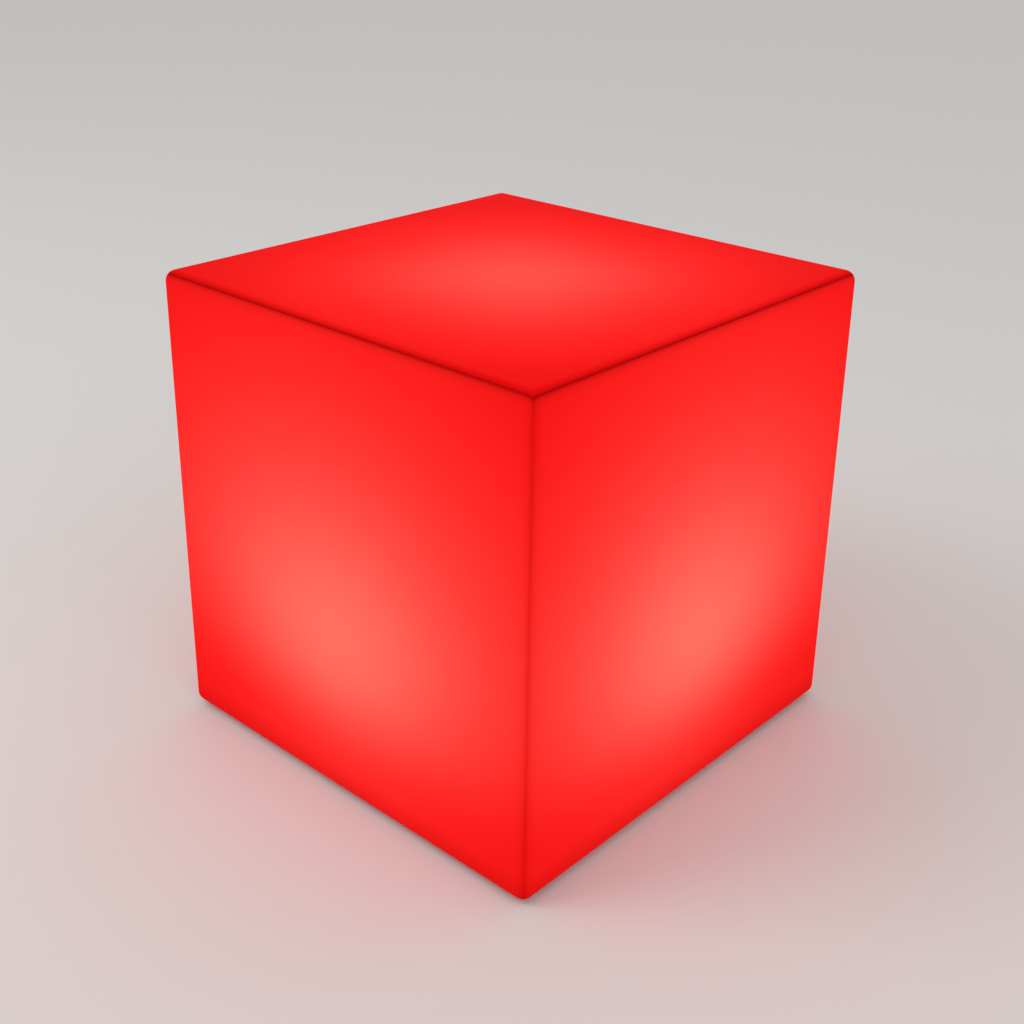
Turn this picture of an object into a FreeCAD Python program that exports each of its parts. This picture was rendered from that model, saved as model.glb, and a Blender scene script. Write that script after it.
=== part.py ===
"""A 40 cm glowing cube for the garden: a moulded shell, and a light engine that twist-locks in its foot.

The cube stands on its feet on the plane Z = 0, centred on the Z axis, with its walls square to X and Y.
All lengths are in millimetres and all angles in degrees.
"""
import FreeCAD
import Part
import math
import os

import Sketcher
from FreeCAD import Vector

# Driving sizes: name, value, meaning.
SIZES = [
    ("shell_width", 400, "width of the shell where its walls meet its underside"),
    ("overall_height", 400, "from the floor to the top of the shell"),
    ("shell_draft", 0.65, "lean of each wall, so that the moulding leaves its mould"),
    ("shell_wall", 3.5, "wall of the shell"),
    ("edge_radius", 9, "outer radius of every edge of the cube"),
    ("foot_height", 3, "how far the feet stand out of the underside"),
    ("foot_sink", 1.5, "depth of the seat that each foot is glued into"),
    ("foot_diameter", 24, "rubber foot"),
    ("foot_inset", 45, "from the side of the shell to the middle of a foot"),
    ("foot_bevel", 1.2, "bevel of the rubber foot"),
    ("seat_clearance", 0.3, "gap round a piece that drops into a seat"),
    ("collar_seat", 16, "width of the seat round the mouth that the collar lies on"),
    ("recess_depth", 10.5, "depth of that recess"),
    ("recess_radius", 3, "rounding of the recess, inside and out"),
    ("insert_count", 6, "brass inserts, and collar screws"),
    ("insert_diameter", 8, "brass insert"),
    ("insert_length", 8, "brass insert"),
    ("boss_wall", 3.5, "plastic round and over a brass insert"),
    ("collar_screw", 4, "thread of the collar screws"),
    ("collar_screw_length", 10, "under the head"),
    ("gasket_thickness", 1, "flat gaskets, as clamped"),
    ("collar_thickness", 4.2, "flange of the collar"),
    ("collar_margin", 1, "gap from the collar to the wall of its recess"),
    ("neck_height", 12, "neck of the collar, above its flange"),
    ("neck_wall", 3.5, "wall of that neck"),
    ("neck_clearance", 0.5, "gap between the neck and the shell's mouth"),
    ("lip_reach", 6, "how far the bayonet lip reaches in from the neck"),
    ("lug_count", 3, "bayonet lugs"),
    ("lug_span", 36, "angle that one lug takes"),
    ("lug_height", 4, "thickness of a lug"),
    ("notch_play", 4, "how much wider than a lug its notch is, as an angle"),
    ("lock_turn", 45, "turn from the notch to the lock"),
    ("stop_span", 4, "angle that one stop rib takes"),
    ("stop_gap", 1, "angle left between a lug and its stop"),
    ("bayonet_gap", 0.3, "gap under a lug, and between the engine's flange and the collar"),
    ("cup_clearance", 1, "gap between the engine's cup and the bayonet lip"),
    ("lug_clearance", 0.5, "gap between a lug's end and the neck"),
    ("flange_lap", 2, "how far the engine's flange reaches past the shell's mouth"),
    ("engine_flange_thickness", 4, "flange of the engine"),
    ("seal_groove_depth", 2.1, "groove of the engine's sealing ring"),
    ("seal_clearance", 0.1, "gap between a sealing ring and the face that it meets"),
    ("rim_drop", 2.4, "how far the rim of the cup lies below the LED board"),
    ("cup_wall", 3, "wall of the cup"),
    ("floor_thickness", 2.8, "floor of the cup"),
    ("well_radius", 40, "finger wells, measured from the middle of the engine"),
    ("well_depth", 14, "finger wells"),
    ("well_draft", 3, "lean of the wells' walls"),
    ("well_end_radius", 8, "rounding of the wells' sharp ends, seen from below"),
    ("grip_width", 16, "bar between the finger wells"),
    ("grip_radius", 3, "rounding of the bar and the wells' rim"),
    ("lens_boss_bite", 0.5, "how far a lens boss runs into the wall of the cup"),
    ("lens_boss_diameter", 9, "bosses for the lens screws"),
    ("lens_screw_count", 6, "lens screws"),
    ("small_screw", 3, "thread of the lens and board screws"),
    ("small_screw_length", 8, "under the head"),
    ("screw_clearance", 0.2, "gap round a screw in its clearance hole"),
    ("thread_gap", 0.05, "gap between a screw or insert and what it is fast in"),
    ("head_ratio", 1.9, "diameter of a screw's head over that of its thread"),
    ("head_rise", 0.6, "height of a screw's head over the diameter of its thread"),
    ("post_count", 4, "posts under each circuit board"),
    ("led_post_inset", 8, "from the edge of the LED board to its posts"),
    ("led_board_gap", 1.8, "gap between the capacitors and the LED board"),
    ("post_diameter", 7, "posts under the boards"),
    ("board_post_inset", 4, "from the edge of the control board to its posts"),
    ("board_post_height", 5.2, "those posts, above the roof of the wells"),
    ("board_thickness", 1.6, "both circuit boards"),
    ("led_board_margin", 2, "gap round the LED board, inside the lens"),
    ("lead_hole_diameter", 9, "hole in the middle of the LED board, for its leads"),
    ("led_size", 5, "side of one LED"),
    ("led_height", 1.6, "height of one LED"),
    ("led_ring_one", 12, "radius of the inner ring of LEDs"),
    ("led_ring_step", 15, "from one ring of LEDs to the next"),
    ("led_count_one", 4, "LEDs in the inner ring"),
    ("led_count_step", 6, "LEDs that each further ring has more"),
    ("receiver_width", 7, "infrared receiver"),
    ("receiver_depth", 5, "infrared receiver"),
    ("receiver_height", 4.5, "infrared receiver"),
    ("lens_flange_thickness", 2.5, "flange of the lens"),
    ("lens_wall", 2, "wall of the lens's dome"),
    ("dome_margin", 1.15, "gap between the lens's dome and the heads of its screws"),
    ("dome_rise", 14, "height of the dome over its flange"),
    ("control_board_end_gap", 8, "from an end of the control board to the wall of the cup"),
    ("control_board_gap", 1.5, "gap between the control board and the lens bosses"),
    ("control_board_corner", 4, "rounding of the control board's corners"),
    ("parts_offset", 14, "rows of parts on the control board, from its middle line"),
    ("chip_count", 3, "integrated circuits"),
    ("chip_side", 8, "integrated circuit"),
    ("chip_height", 1.5, "integrated circuit"),
    ("chip_spacing", 14, "from one integrated circuit to the next"),
    ("capacitor_diameter", 8, "capacitor"),
    ("capacitor_height", 9, "capacitor"),
    ("capacitor_spacing", 12, "from one capacitor to the next"),
    ("coil_side", 11, "charger coil"),
    ("coil_height", 5, "charger coil"),
    ("connector_length", 9, "connector of the LED leads"),
    ("connector_width", 6, "connector of the LED leads"),
    ("connector_height", 4.5, "connector of the LED leads"),
    ("fitting_spacing", 18, "from the wells' radius out to the button and the charging socket"),
    ("button_diameter", 12, "push cap"),
    ("button_clearance", 0.1, "gap round the push cap in its bore"),
    ("button_travel", 0.8, "travel of the push cap"),
    ("button_sink", 1.2, "dish round the push cap, and how deep the cap lies"),
    ("button_dish_diameter", 24, "dish round the push cap"),
    ("button_sleeve_height", 9, "sleeve round the push cap, above the underside"),
    ("button_stem", 5, "stem of the push cap"),
    ("button_bore_length", 5, "from the underside to the shoulder that holds the push cap"),
    ("cap_sink", 0.4, "how deep the push cap lies"),
    ("cap_flange_reach", 1.6, "flange that holds the push cap captive"),
    ("cap_flange_thickness", 1.6, "that flange"),
    ("cap_rim", 1, "flat rim of the push cap's face"),
    ("cap_dish", 0.5, "hollow of the push cap's face"),
    ("cap_ring_section", 1.5, "rubber ring of the push cap"),
    ("cap_ring_gap", 0.03, "gap round that ring"),
    ("switch_side", 7.4, "body of the switch"),
    ("switch_height", 4, "body of the switch"),
    ("plunger_diameter", 4, "plunger of the switch"),
    ("plunger_length", 4.6, "plunger of the switch"),
    ("plunger_inside", 2, "part of the plunger that is inside the switch"),
    ("socket_recess_diameter", 18, "recess that the port plug fills"),
    ("socket_recess_depth", 8.5, "recess that the port plug fills"),
    ("socket_boss_wall", 2.4, "plastic round and over that recess"),
    ("socket_barrel", 8, "threaded barrel of the charging socket"),
    ("socket_bore", 6.2, "bore of the charging socket"),
    ("socket_bore_depth", 9, "bore of the charging socket"),
    ("socket_body", 11, "body of the charging socket, behind its panel"),
    ("socket_body_height", 9, "body of the charging socket, behind its panel"),
    ("socket_pin", 2.1, "centre pin of the charging socket"),
    ("socket_pin_sink", 1, "how deep that pin lies in the socket"),
    ("solder_pin", 1.4, "side of a solder pin"),
    ("nut_across", 11, "nut of the charging socket, across flats"),
    ("nut_thickness", 2, "nut of the charging socket"),
    ("plug_travel", 4.4, "how far the port plug pulls out before it swings clear"),
    ("plug_clearance", 0.3, "gap round the port plug in its recess"),
    ("plug_fit", 0.08, "gap round the plug's spigot in the socket"),
    ("plug_sink", 1, "how deep the port plug lies"),
    ("tether_reach", 17, "from the middle of the plug to its tether's stem"),
    ("tether_width", 6, "tether of the port plug"),
    ("tether_thickness", 1.8, "tether of the port plug"),
    ("tether_stem", 3, "stem that slides in the base"),
    ("tether_knob", 4.6, "knob that holds the stem captive"),
    ("tether_roof", 2.6, "plastic between the tether's channel and its knob"),
    ("knob_thickness", 2, "knob that holds the stem captive"),
    ("window_spacing", 9, "from the wells' radius out to the charge window"),
    ("window_angle", 207, "bearing of the charge window, from +X"),
    ("window_diameter", 4, "light pipe of the charge window"),
    ("window_sleeve", 8, "diameter and height of the sleeve round the light pipe"),
    ("window_gap", 1.2, "gap between the light pipe and the control board, and collar of the pipe"),
    ("cell_diameter", 18.4, "battery cell"),
    ("cell_length", 65, "battery cell"),
    ("cell_gap", 1, "gap between a cell and the blocks beside it"),
    ("cup_room", 1.82, "gap between a cell's corner and the wall of the cup"),
    ("cell_lift", 0.6, "gap under a cell"),
    ("cell_nub", 0.8, "contact at a cell's end"),
    ("cradle_spacing", 44, "from one cradle rib to the other, along a cell"),
    ("cradle_width", 22, "cradle rib"),
    ("cradle_height", 7, "cradle rib"),
    ("rib_thickness", 3, "cradle ribs"),
    ("pad_length", 30, "foam pad, along the cell"),
    ("pad_width", 13, "foam pad"),
    ("lead_diameter", 1.8, "insulated wire"),
    ("lead_bend", 3, "bends of the battery leads"),
    ("lead_reach", 10.7, "from a cell's contact to the rise of its lead"),
    ("lead_pad_x", 30, "where a battery lead is soldered, along X"),
    ("lead_pad_y", 18, "where a battery lead is soldered, along Y"),
    ("lead_rise", 5, "height of a battery lead over the control board"),
    ("led_lead_bend", 1.9, "bends of the LED leads"),
    ("led_lead_gap", 3.4, "between the two LED leads in their hole"),
    ("led_lead_spread", 14, "between the solder joints of the LED leads"),
    ("led_lead_rise", 3, "height of the LED leads over the LED board"),
]

document = FreeCAD.newDocument("GlowingCube")
sheet = document.addObject("Spreadsheet::Sheet", "Sizes")
for row, (name, value, meaning) in enumerate(SIZES, start=1):
    sheet.set(f"A{row}", meaning)
    sheet.set(f"B{row}", str(value))
    sheet.setAlias(f"B{row}", name)
document.recompute()

TOUCH = 0.01
LED_RINGS = 3
LOCKED = 90

# Heights over the floor.
SHELL_BASE = "Sizes.foot_height"
SHELL_FLOOR = "(Sizes.foot_height + Sizes.shell_wall)"
RECESS_CEILING = "(Sizes.foot_height + Sizes.recess_depth)"
COLLAR_TOP = f"({RECESS_CEILING} - Sizes.gasket_thickness)"
COLLAR_UNDERSIDE = f"({COLLAR_TOP} - Sizes.collar_thickness)"
NECK_TOP = f"({COLLAR_TOP} + Sizes.neck_height)"
FLANGE_TOP = f"({COLLAR_UNDERSIDE} - Sizes.bayonet_gap)"
ENGINE_UNDERSIDE = f"({FLANGE_TOP} - Sizes.engine_flange_thickness)"
CUP_FLOOR = f"({ENGINE_UNDERSIDE} + Sizes.floor_thickness)"
LUG_UNDERSIDE = f"({COLLAR_TOP} + Sizes.bayonet_gap)"
WELL_CEILING = f"({ENGINE_UNDERSIDE} + Sizes.well_depth)"
WELL_ROOF = f"({WELL_CEILING} + Sizes.floor_thickness)"
CONTROL_BOARD = f"({WELL_ROOF} + Sizes.board_post_height)"
CONTROL_TOP = f"({CONTROL_BOARD} + Sizes.board_thickness)"
LED_BOARD = f"({CONTROL_TOP} + Sizes.capacitor_height + Sizes.led_board_gap)"
LED_BOARD_TOP = f"({LED_BOARD} + Sizes.board_thickness)"
CUP_RIM = f"({LED_BOARD} - Sizes.rim_drop)"
LENS_FOOT = f"({CUP_RIM} + Sizes.gasket_thickness)"
LENS_FLANGE_TOP = f"({LENS_FOOT} + Sizes.lens_flange_thickness)"
CELL_AXIS = f"({CUP_FLOOR} + Sizes.cell_lift + Sizes.cell_diameter / 2)"
SWITCH_UNDERSIDE = f"({CONTROL_BOARD} - Sizes.switch_height)"
PLUNGER_TOP = f"({SWITCH_UNDERSIDE} + Sizes.plunger_inside)"
PLUNGER_FOOT = f"({PLUNGER_TOP} - Sizes.plunger_length)"
SOCKET_CEILING = f"({ENGINE_UNDERSIDE} + Sizes.socket_recess_depth)"
SOCKET_PANEL = f"({SOCKET_CEILING} + Sizes.socket_boss_wall)"
SOCKET_MOUTH = f"({SOCKET_CEILING} - Sizes.nut_thickness)"
PLUG_FACE = f"({ENGINE_UNDERSIDE} + Sizes.plug_sink)"
TETHER_CEILING = f"({PLUG_FACE} + Sizes.tether_thickness + Sizes.plug_clearance)"
KNOB_SEAT = f"({TETHER_CEILING} + Sizes.tether_roof)"
KNOB_FOOT = f"({KNOB_SEAT} + Sizes.plug_travel + Sizes.plug_clearance)"

# Distances from the Z axis. The light engine is laid out from the finger wells outwards:
# the battery cells lie beside the wells, the cup goes round the cells, and the collar round the cup.
HALF_WIDTH = "(Sizes.shell_width / 2)"
FOOT_REACH = f"({HALF_WIDTH} - Sizes.foot_inset)"
CELL_OFFSET = "(Sizes.well_radius + Sizes.floor_thickness + Sizes.cell_gap + Sizes.cell_diameter / 2)"
CELL_OUTSIDE = f"({CELL_OFFSET} + Sizes.cell_diameter / 2)"
ROUND_CELLS = f"(sqrt({CELL_OUTSIDE}^2 + (Sizes.cell_length / 2)^2) + Sizes.cup_room)"
ROUND_BOSSES = f"({CELL_OUTSIDE} + Sizes.cell_gap + Sizes.lens_boss_diameter - Sizes.lens_boss_bite)"
CUP_INSIDE = f"max({ROUND_CELLS}; {ROUND_BOSSES})"
CUP_OUTSIDE = f"({CUP_INSIDE} + Sizes.cup_wall)"
LIP_INSIDE = f"({CUP_OUTSIDE} + Sizes.cup_clearance)"
NECK_INSIDE = f"({LIP_INSIDE} + Sizes.lip_reach)"
LUG_END = f"({NECK_INSIDE} - Sizes.lug_clearance)"
NECK_OUTSIDE = f"({NECK_INSIDE} + Sizes.neck_wall)"
MOUTH = f"({NECK_OUTSIDE} + Sizes.neck_clearance)"
SCREW_CIRCLE = f"({MOUTH} + Sizes.collar_seat / 2)"
RECESS_EDGE = f"({MOUTH} + Sizes.collar_seat)"
COLLAR_EDGE = f"({RECESS_EDGE} - Sizes.collar_margin)"
FLANGE_EDGE = f"({MOUTH} + Sizes.flange_lap)"
SEAL_CIRCLE = f"(({NECK_INSIDE} + {FLANGE_EDGE}) / 2)"
SEAL_SECTION = "(Sizes.seal_groove_depth + Sizes.bayonet_gap - Sizes.seal_clearance)"
LENS_SCREW_CIRCLE = f"({CUP_INSIDE} + Sizes.lens_boss_bite - Sizes.lens_boss_diameter / 2)"
DOME_EDGE = f"({LENS_SCREW_CIRCLE} - Sizes.small_screw * Sizes.head_ratio / 2 - Sizes.dome_margin)"
DOME_INSIDE = f"({DOME_EDGE} - Sizes.lens_wall)"
LED_BOARD_EDGE = f"({DOME_INSIDE} - Sizes.led_board_margin)"
LED_POST_CIRCLE = f"({LED_BOARD_EDGE} - Sizes.led_post_inset)"
FITTING_OFFSET = "(Sizes.well_radius + Sizes.fitting_spacing)"
WINDOW_OFFSET = "(Sizes.well_radius + Sizes.window_spacing)"
BOARD_END = f"({CUP_INSIDE} - Sizes.control_board_end_gap)"
BOARD_SIDE = f"({LENS_SCREW_CIRCLE} * sin(30) - Sizes.lens_boss_diameter / 2 - Sizes.control_board_gap)"
BOARD_POST_CIRCLE = f"(({BOARD_SIDE} - Sizes.board_post_inset) / cos(45))"
LEAD_RISE = "(Sizes.cell_length / 2 + Sizes.cell_nub + Sizes.lead_reach)"
NUT_REACH = "(Sizes.nut_across / sqrt(3))"


def at(expression):
    """The number that an expression of the sheet has now."""
    return float(sheet.evalExpression(expression))


def new_body(label):
    """A body for one sub-part."""
    body = document.addObject("PartDesign::Body", label)
    body.Label = label
    return body


def origin_of(body, role):
    """The plane or axis of a body's origin that has this role."""
    return next(item for item in body.Origin.OriginFeatures if item.Role == role)


def new_sketch(body, name, plane="XY_Plane", height=None, across=None):
    """A sketch on a plane of the body's origin, lifted off it by height and moved along it by across."""
    sketch = body.newObject("Sketcher::SketchObject", name)
    sketch.AttachmentSupport = [(origin_of(body, plane), "")]
    sketch.MapMode = "FlatFace"
    if height is not None:
        sketch.setExpression("AttachmentOffset.Base.z", height)
    if across is not None:
        sketch.setExpression("AttachmentOffset.Base.x", across)
    document.recompute()
    return sketch


def constrain(sketch, kind, places, expression):
    """Bind a distance or a radius of the sketch to an expression."""
    index = sketch.addConstraint(Sketcher.Constraint(kind, *places, at(expression)))
    sketch.setExpression(f"Constraints[{index}]", expression)


def arc_between(start, end, radius, turn):
    """The short arc from start to end; turn is 1 where it runs anticlockwise and -1 where clockwise."""
    chord = end - start
    half = chord.Length / 2
    rise = math.sqrt(max(radius * radius - half * half, 0))
    normal = Vector(-chord.y, chord.x, 0).normalize()
    centre = (start + end) / 2 + normal * (rise * turn)
    middle = centre - normal * (radius * turn)
    return Part.Arc(start, middle, end).toShape().Curve, centre


def outline(sketch, corners):
    """Draw a closed outline through its corners, each (across, up) as expressions.

    A corner that an arc leads on from also has the arc's radius and its turn, 1 or -1.
    """
    points = [Vector(at(corner[0]), at(corner[1]), 0) for corner in corners]
    ends = []
    for number, corner in enumerate(corners):
        start = points[number]
        end = points[(number + 1) % len(corners)]
        if len(corner) == 2:
            line = sketch.addGeometry(Part.LineSegment(start, end))
            ends.append((line, 1, 2))
            continue
        radius, turn = at(corner[2]), corner[3]
        circle, centre = arc_between(start, end, radius, turn)
        first, last = (start, end) if turn > 0 else (end, start)
        angles = [math.atan2(point.y - centre.y, point.x - centre.x) for point in (first, last)]
        if angles[1] < angles[0]:
            angles[1] += 2 * math.pi
        plain = Part.Circle(centre, Vector(0, 0, 1), radius)
        arc = sketch.addGeometry(Part.ArcOfCircle(plain, *angles))
        ends.append((arc, 1, 2) if turn > 0 else (arc, 2, 1))
        constrain(sketch, "Radius", (arc,), corner[2])
    for number, (edge, first, last) in enumerate(ends):
        following, start, _ = ends[(number + 1) % len(ends)]
        sketch.addConstraint(Sketcher.Constraint("Coincident", edge, last, following, start))
        constrain(sketch, "DistanceX", (-1, 1, edge, first), corners[number][0])
        constrain(sketch, "DistanceY", (-1, 1, edge, first), corners[number][1])


def rectangle(sketch, width, depth, across="0", up="0"):
    """Draw a rectangle round the point (across, up)."""
    left, right = f"{across} - {width} / 2", f"{across} + {width} / 2"
    low, high = f"{up} - {depth} / 2", f"{up} + {depth} / 2"
    outline(sketch, [(left, low), (right, low), (right, high), (left, high)])


def circle(sketch, radius, across="0", up="0"):
    """Draw a circle round the point (across, up)."""
    centre = Vector(at(across), at(up), 0)
    index = sketch.addGeometry(Part.Circle(centre, Vector(0, 0, 1), at(radius)))
    constrain(sketch, "Radius", (index,), radius)
    constrain(sketch, "DistanceX", (-1, 1, index, 3), across)
    constrain(sketch, "DistanceY", (-1, 1, index, 3), up)


def sector(sketch, inner, outer, start, end):
    """Draw a piece of a ring between two distances from the middle and two bearings."""
    def point(distance, bearing):
        return (f"{distance} * cos({bearing})", f"{distance} * sin({bearing})")
    outline(sketch, [
        point(inner, start),
        (*point(outer, start), outer, 1),
        point(outer, end),
        (*point(inner, end), inner, -1),
    ])


def pad(body, name, sketch, length, lean=None, midplane=False):
    """Raise the sketch by length; the walls draw in by lean."""
    feature = body.newObject("PartDesign::Pad", name)
    feature.Profile = sketch
    feature.SideType = "Symmetric" if midplane else "One side"
    feature.setExpression("Length", length)
    if lean is not None:
        feature.setExpression("TaperAngle", f"-{lean}")
    document.recompute()
    return feature


def pocket(body, name, sketch, length, lean=None):
    """Cut the sketch upwards by length; the walls draw in by lean."""
    before = body.Shape.Volume
    feature = body.newObject("PartDesign::Pocket", name)
    feature.Profile = sketch
    feature.Reversed = True
    feature.setExpression("Length", length)
    if lean is not None:
        feature.setExpression("TaperAngle", f"-{lean}")
    document.recompute()
    if body.Shape.Volume >= before:
        raise RuntimeError(f"{body.Label}: {name} cuts nothing")
    return feature


def turned(body, name, corners, across=None, plane="XZ_Plane", axis="V_Axis", height=None, cut=False):
    """Turn an outline of (distance from the axis, height) round an upright axis, to add it or cut it."""
    before = body.Shape.Volume if cut else 0
    sketch = new_sketch(body, f"{name}_outline", plane, height, across)
    outline(sketch, corners)
    feature = body.newObject("PartDesign::Groove" if cut else "PartDesign::Revolution", name)
    feature.Profile = sketch
    feature.ReferenceAxis = (sketch, [axis])
    feature.Angle = 360
    document.recompute()
    if cut and body.Shape.Volume >= before:
        raise RuntimeError(f"{body.Label}: {name} cuts nothing")
    return feature


def repeat_round(body, name, features, count):
    """Repeat features evenly round the Z axis."""
    pattern = body.newObject("PartDesign::PolarPattern", name)
    pattern.Originals = features
    pattern.Axis = (origin_of(body, "Z_Axis"), [""])
    pattern.Angle = 360
    pattern.setExpression("Occurrences", count)
    body.Tip = pattern
    document.recompute()
    return pattern


def mirror(body, name, features, plane):
    """Mirror features in a plane of the body's origin."""
    copy = body.newObject("PartDesign::Mirrored", name)
    copy.Originals = features
    copy.MirrorPlane = (origin_of(body, plane), [""])
    body.Tip = copy
    document.recompute()
    return copy


def round_edges(body, name, radius, chosen, kind="PartDesign::Fillet"):
    """Round or bevel the edges that the test chosen picks."""
    base = body.Tip
    names = [f"Edge{number}" for number, edge in enumerate(base.Shape.Edges, start=1) if chosen(edge)]
    if not names:
        raise RuntimeError(f"{body.Label}: {name} finds no edge")
    feature = body.newObject(kind, name)
    feature.Base = (base, names)
    feature.setExpression("Radius" if kind.endswith("Fillet") else "Size", radius)
    document.recompute()
    return feature


def sample_points(edge):
    """The ends and the middle of an edge."""
    middle = edge.valueAt((edge.FirstParameter + edge.LastParameter) / 2)
    return [middle] + [vertex.Point for vertex in edge.Vertexes]


def level_edges(height, nearest="0", farthest="Sizes.shell_width"):
    """Picks the edges at one height that lie wholly between two distances from the Z axis."""
    level, near, far = at(height), at(nearest) - TOUCH, at(farthest) + TOUCH

    def chosen(edge):
        box = edge.BoundBox
        flat = abs(box.ZMin - level) < TOUCH and abs(box.ZMax - level) < TOUCH
        return flat and all(near < math.hypot(point.x, point.y) < far for point in sample_points(edge))
    return chosen


# ---------------------------------------------------------------- shell and feet

def make_cube_shell():
    """Rotationally moulded cube: even wall, drafted sides, round recess and mouth, bosses and foot seats."""
    body = new_body("cube_shell")
    square = new_sketch(body, "footprint", height=SHELL_BASE)
    rectangle(square, "Sizes.shell_width", "Sizes.shell_width")
    pad(body, "block", square, "Sizes.overall_height - Sizes.foot_height", "Sizes.shell_draft")

    wall_at_floor = "Sizes.shell_wall / cos(Sizes.shell_draft)"
    inner_width = f"(Sizes.shell_width - 2 * {wall_at_floor} - 2 * Sizes.shell_wall * tan(Sizes.shell_draft))"
    hollow = new_sketch(body, "hollow_outline", height=SHELL_FLOOR)
    rectangle(hollow, inner_width, inner_width)
    inner_height = "Sizes.overall_height - Sizes.foot_height - 2 * Sizes.shell_wall"
    pocket(body, "hollow", hollow, inner_height, "Sizes.shell_draft")
    inner_floor = at(SHELL_FLOOR) - TOUCH
    inner_ceiling = at("Sizes.overall_height - Sizes.shell_wall") + TOUCH

    def inside(edge):
        return inner_floor < edge.BoundBox.ZMin and edge.BoundBox.ZMax < inner_ceiling
    round_edges(body, "inner_edges", "Sizes.edge_radius - Sizes.shell_wall", inside)

    def outside(edge):
        return all(not inner_floor < vertex.Z < inner_ceiling for vertex in edge.Vertexes)
    round_edges(body, "outer_edges", "Sizes.edge_radius", outside)

    plateau = new_sketch(body, "plateau_outline", height=SHELL_BASE)
    circle(plateau, f"{RECESS_EDGE} + Sizes.shell_wall")
    pad(body, "plateau", plateau, "Sizes.recess_depth + Sizes.shell_wall")
    recess = new_sketch(body, "recess_outline", height=SHELL_BASE)
    circle(recess, RECESS_EDGE)
    pocket(body, "recess", recess, "Sizes.recess_depth")
    mouth = new_sketch(body, "mouth_outline", height=SHELL_BASE)
    circle(mouth, MOUTH)
    pocket(body, "mouth", mouth, "Sizes.recess_depth + 2 * Sizes.shell_wall")
    round_edges(body, "recess_rim", "Sizes.recess_radius",
                level_edges(SHELL_BASE, RECESS_EDGE, RECESS_EDGE))
    round_edges(body, "plateau_rim", "Sizes.recess_radius",
                level_edges(f"{RECESS_CEILING} + Sizes.shell_wall", RECESS_EDGE))

    boss = new_sketch(body, "boss_outline", height=RECESS_CEILING)
    circle(boss, "Sizes.insert_diameter / 2 + Sizes.boss_wall", SCREW_CIRCLE)
    raised = pad(body, "boss", boss, "Sizes.insert_length + Sizes.boss_wall")
    repeat_round(body, "bosses", [raised], "Sizes.insert_count")
    hole = new_sketch(body, "insert_hole_outline", height=RECESS_CEILING)
    circle(hole, "Sizes.insert_diameter / 2 + Sizes.thread_gap", SCREW_CIRCLE)
    bored = pocket(body, "insert_hole", hole, "Sizes.insert_length")
    repeat_round(body, "insert_holes", [bored], "Sizes.insert_count")

    bump = new_sketch(body, "foot_bump_outline", height=SHELL_BASE)
    circle(bump, "Sizes.foot_diameter / 2 + Sizes.shell_wall", FOOT_REACH, FOOT_REACH)
    raised = pad(body, "foot_bump", bump, "Sizes.foot_sink + Sizes.shell_wall")
    repeat_round(body, "foot_bumps", [raised], "4")
    seat = new_sketch(body, "foot_seat_outline", height=SHELL_BASE)
    circle(seat, "Sizes.foot_diameter / 2 + Sizes.seat_clearance", FOOT_REACH, FOOT_REACH)
    sunk = pocket(body, "foot_seat", seat, "Sizes.foot_sink")
    repeat_round(body, "foot_seats", [sunk], "4")
    return body


def make_feet():
    """Four rubber feet, bevelled where they stand, glued into their seats."""
    body = new_body("feet")
    disc = new_sketch(body, "foot_outline")
    circle(disc, "Sizes.foot_diameter / 2", FOOT_REACH, FOOT_REACH)
    foot = pad(body, "foot", disc, "Sizes.foot_height + Sizes.foot_sink")
    bevel = round_edges(body, "foot_bevel", "Sizes.foot_bevel", level_edges("0"), "PartDesign::Chamfer")
    repeat_round(body, "four_feet", [foot, bevel], "4")
    return body


def make_collar_inserts():
    """Brass inserts that the plastic flows round, open to the recess."""
    body = new_body("collar_inserts")
    ring = new_sketch(body, "insert_outline", height=RECESS_CEILING)
    circle(ring, "Sizes.insert_diameter / 2", SCREW_CIRCLE)
    circle(ring, "Sizes.collar_screw / 2 + Sizes.thread_gap", SCREW_CIRCLE)
    insert = pad(body, "insert", ring, "Sizes.insert_length")
    repeat_round(body, "inserts", [insert], "Sizes.insert_count")
    return body


# ---------------------------------------------------------------- collar

def screw_outline(thread, length, seat, way=1):
    """Outline of a pan-head screw whose head lies on a seat; it goes up where way is 1, down where -1."""
    head = f"({thread} * Sizes.head_ratio / 2)"
    rise = f"({thread} * Sizes.head_rise)"
    crown = f"({seat} - {way} * {rise})"
    shoulder = f"({seat} - {way} * {rise} / 2)"
    tip = f"({seat} + {way} * {length})"
    return [
        ("0", crown),
        (f"{head} * 2 / 3", crown),
        (head, shoulder),
        (head, seat),
        (f"{thread} / 2", seat),
        (f"{thread} / 2", tip),
        ("0", tip),
    ]


COLLAR_HEAD_SEAT = f"({COLLAR_UNDERSIDE} + Sizes.collar_screw * Sizes.head_rise)"
LUG_HALF = "(Sizes.lug_span / 2)"


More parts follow.
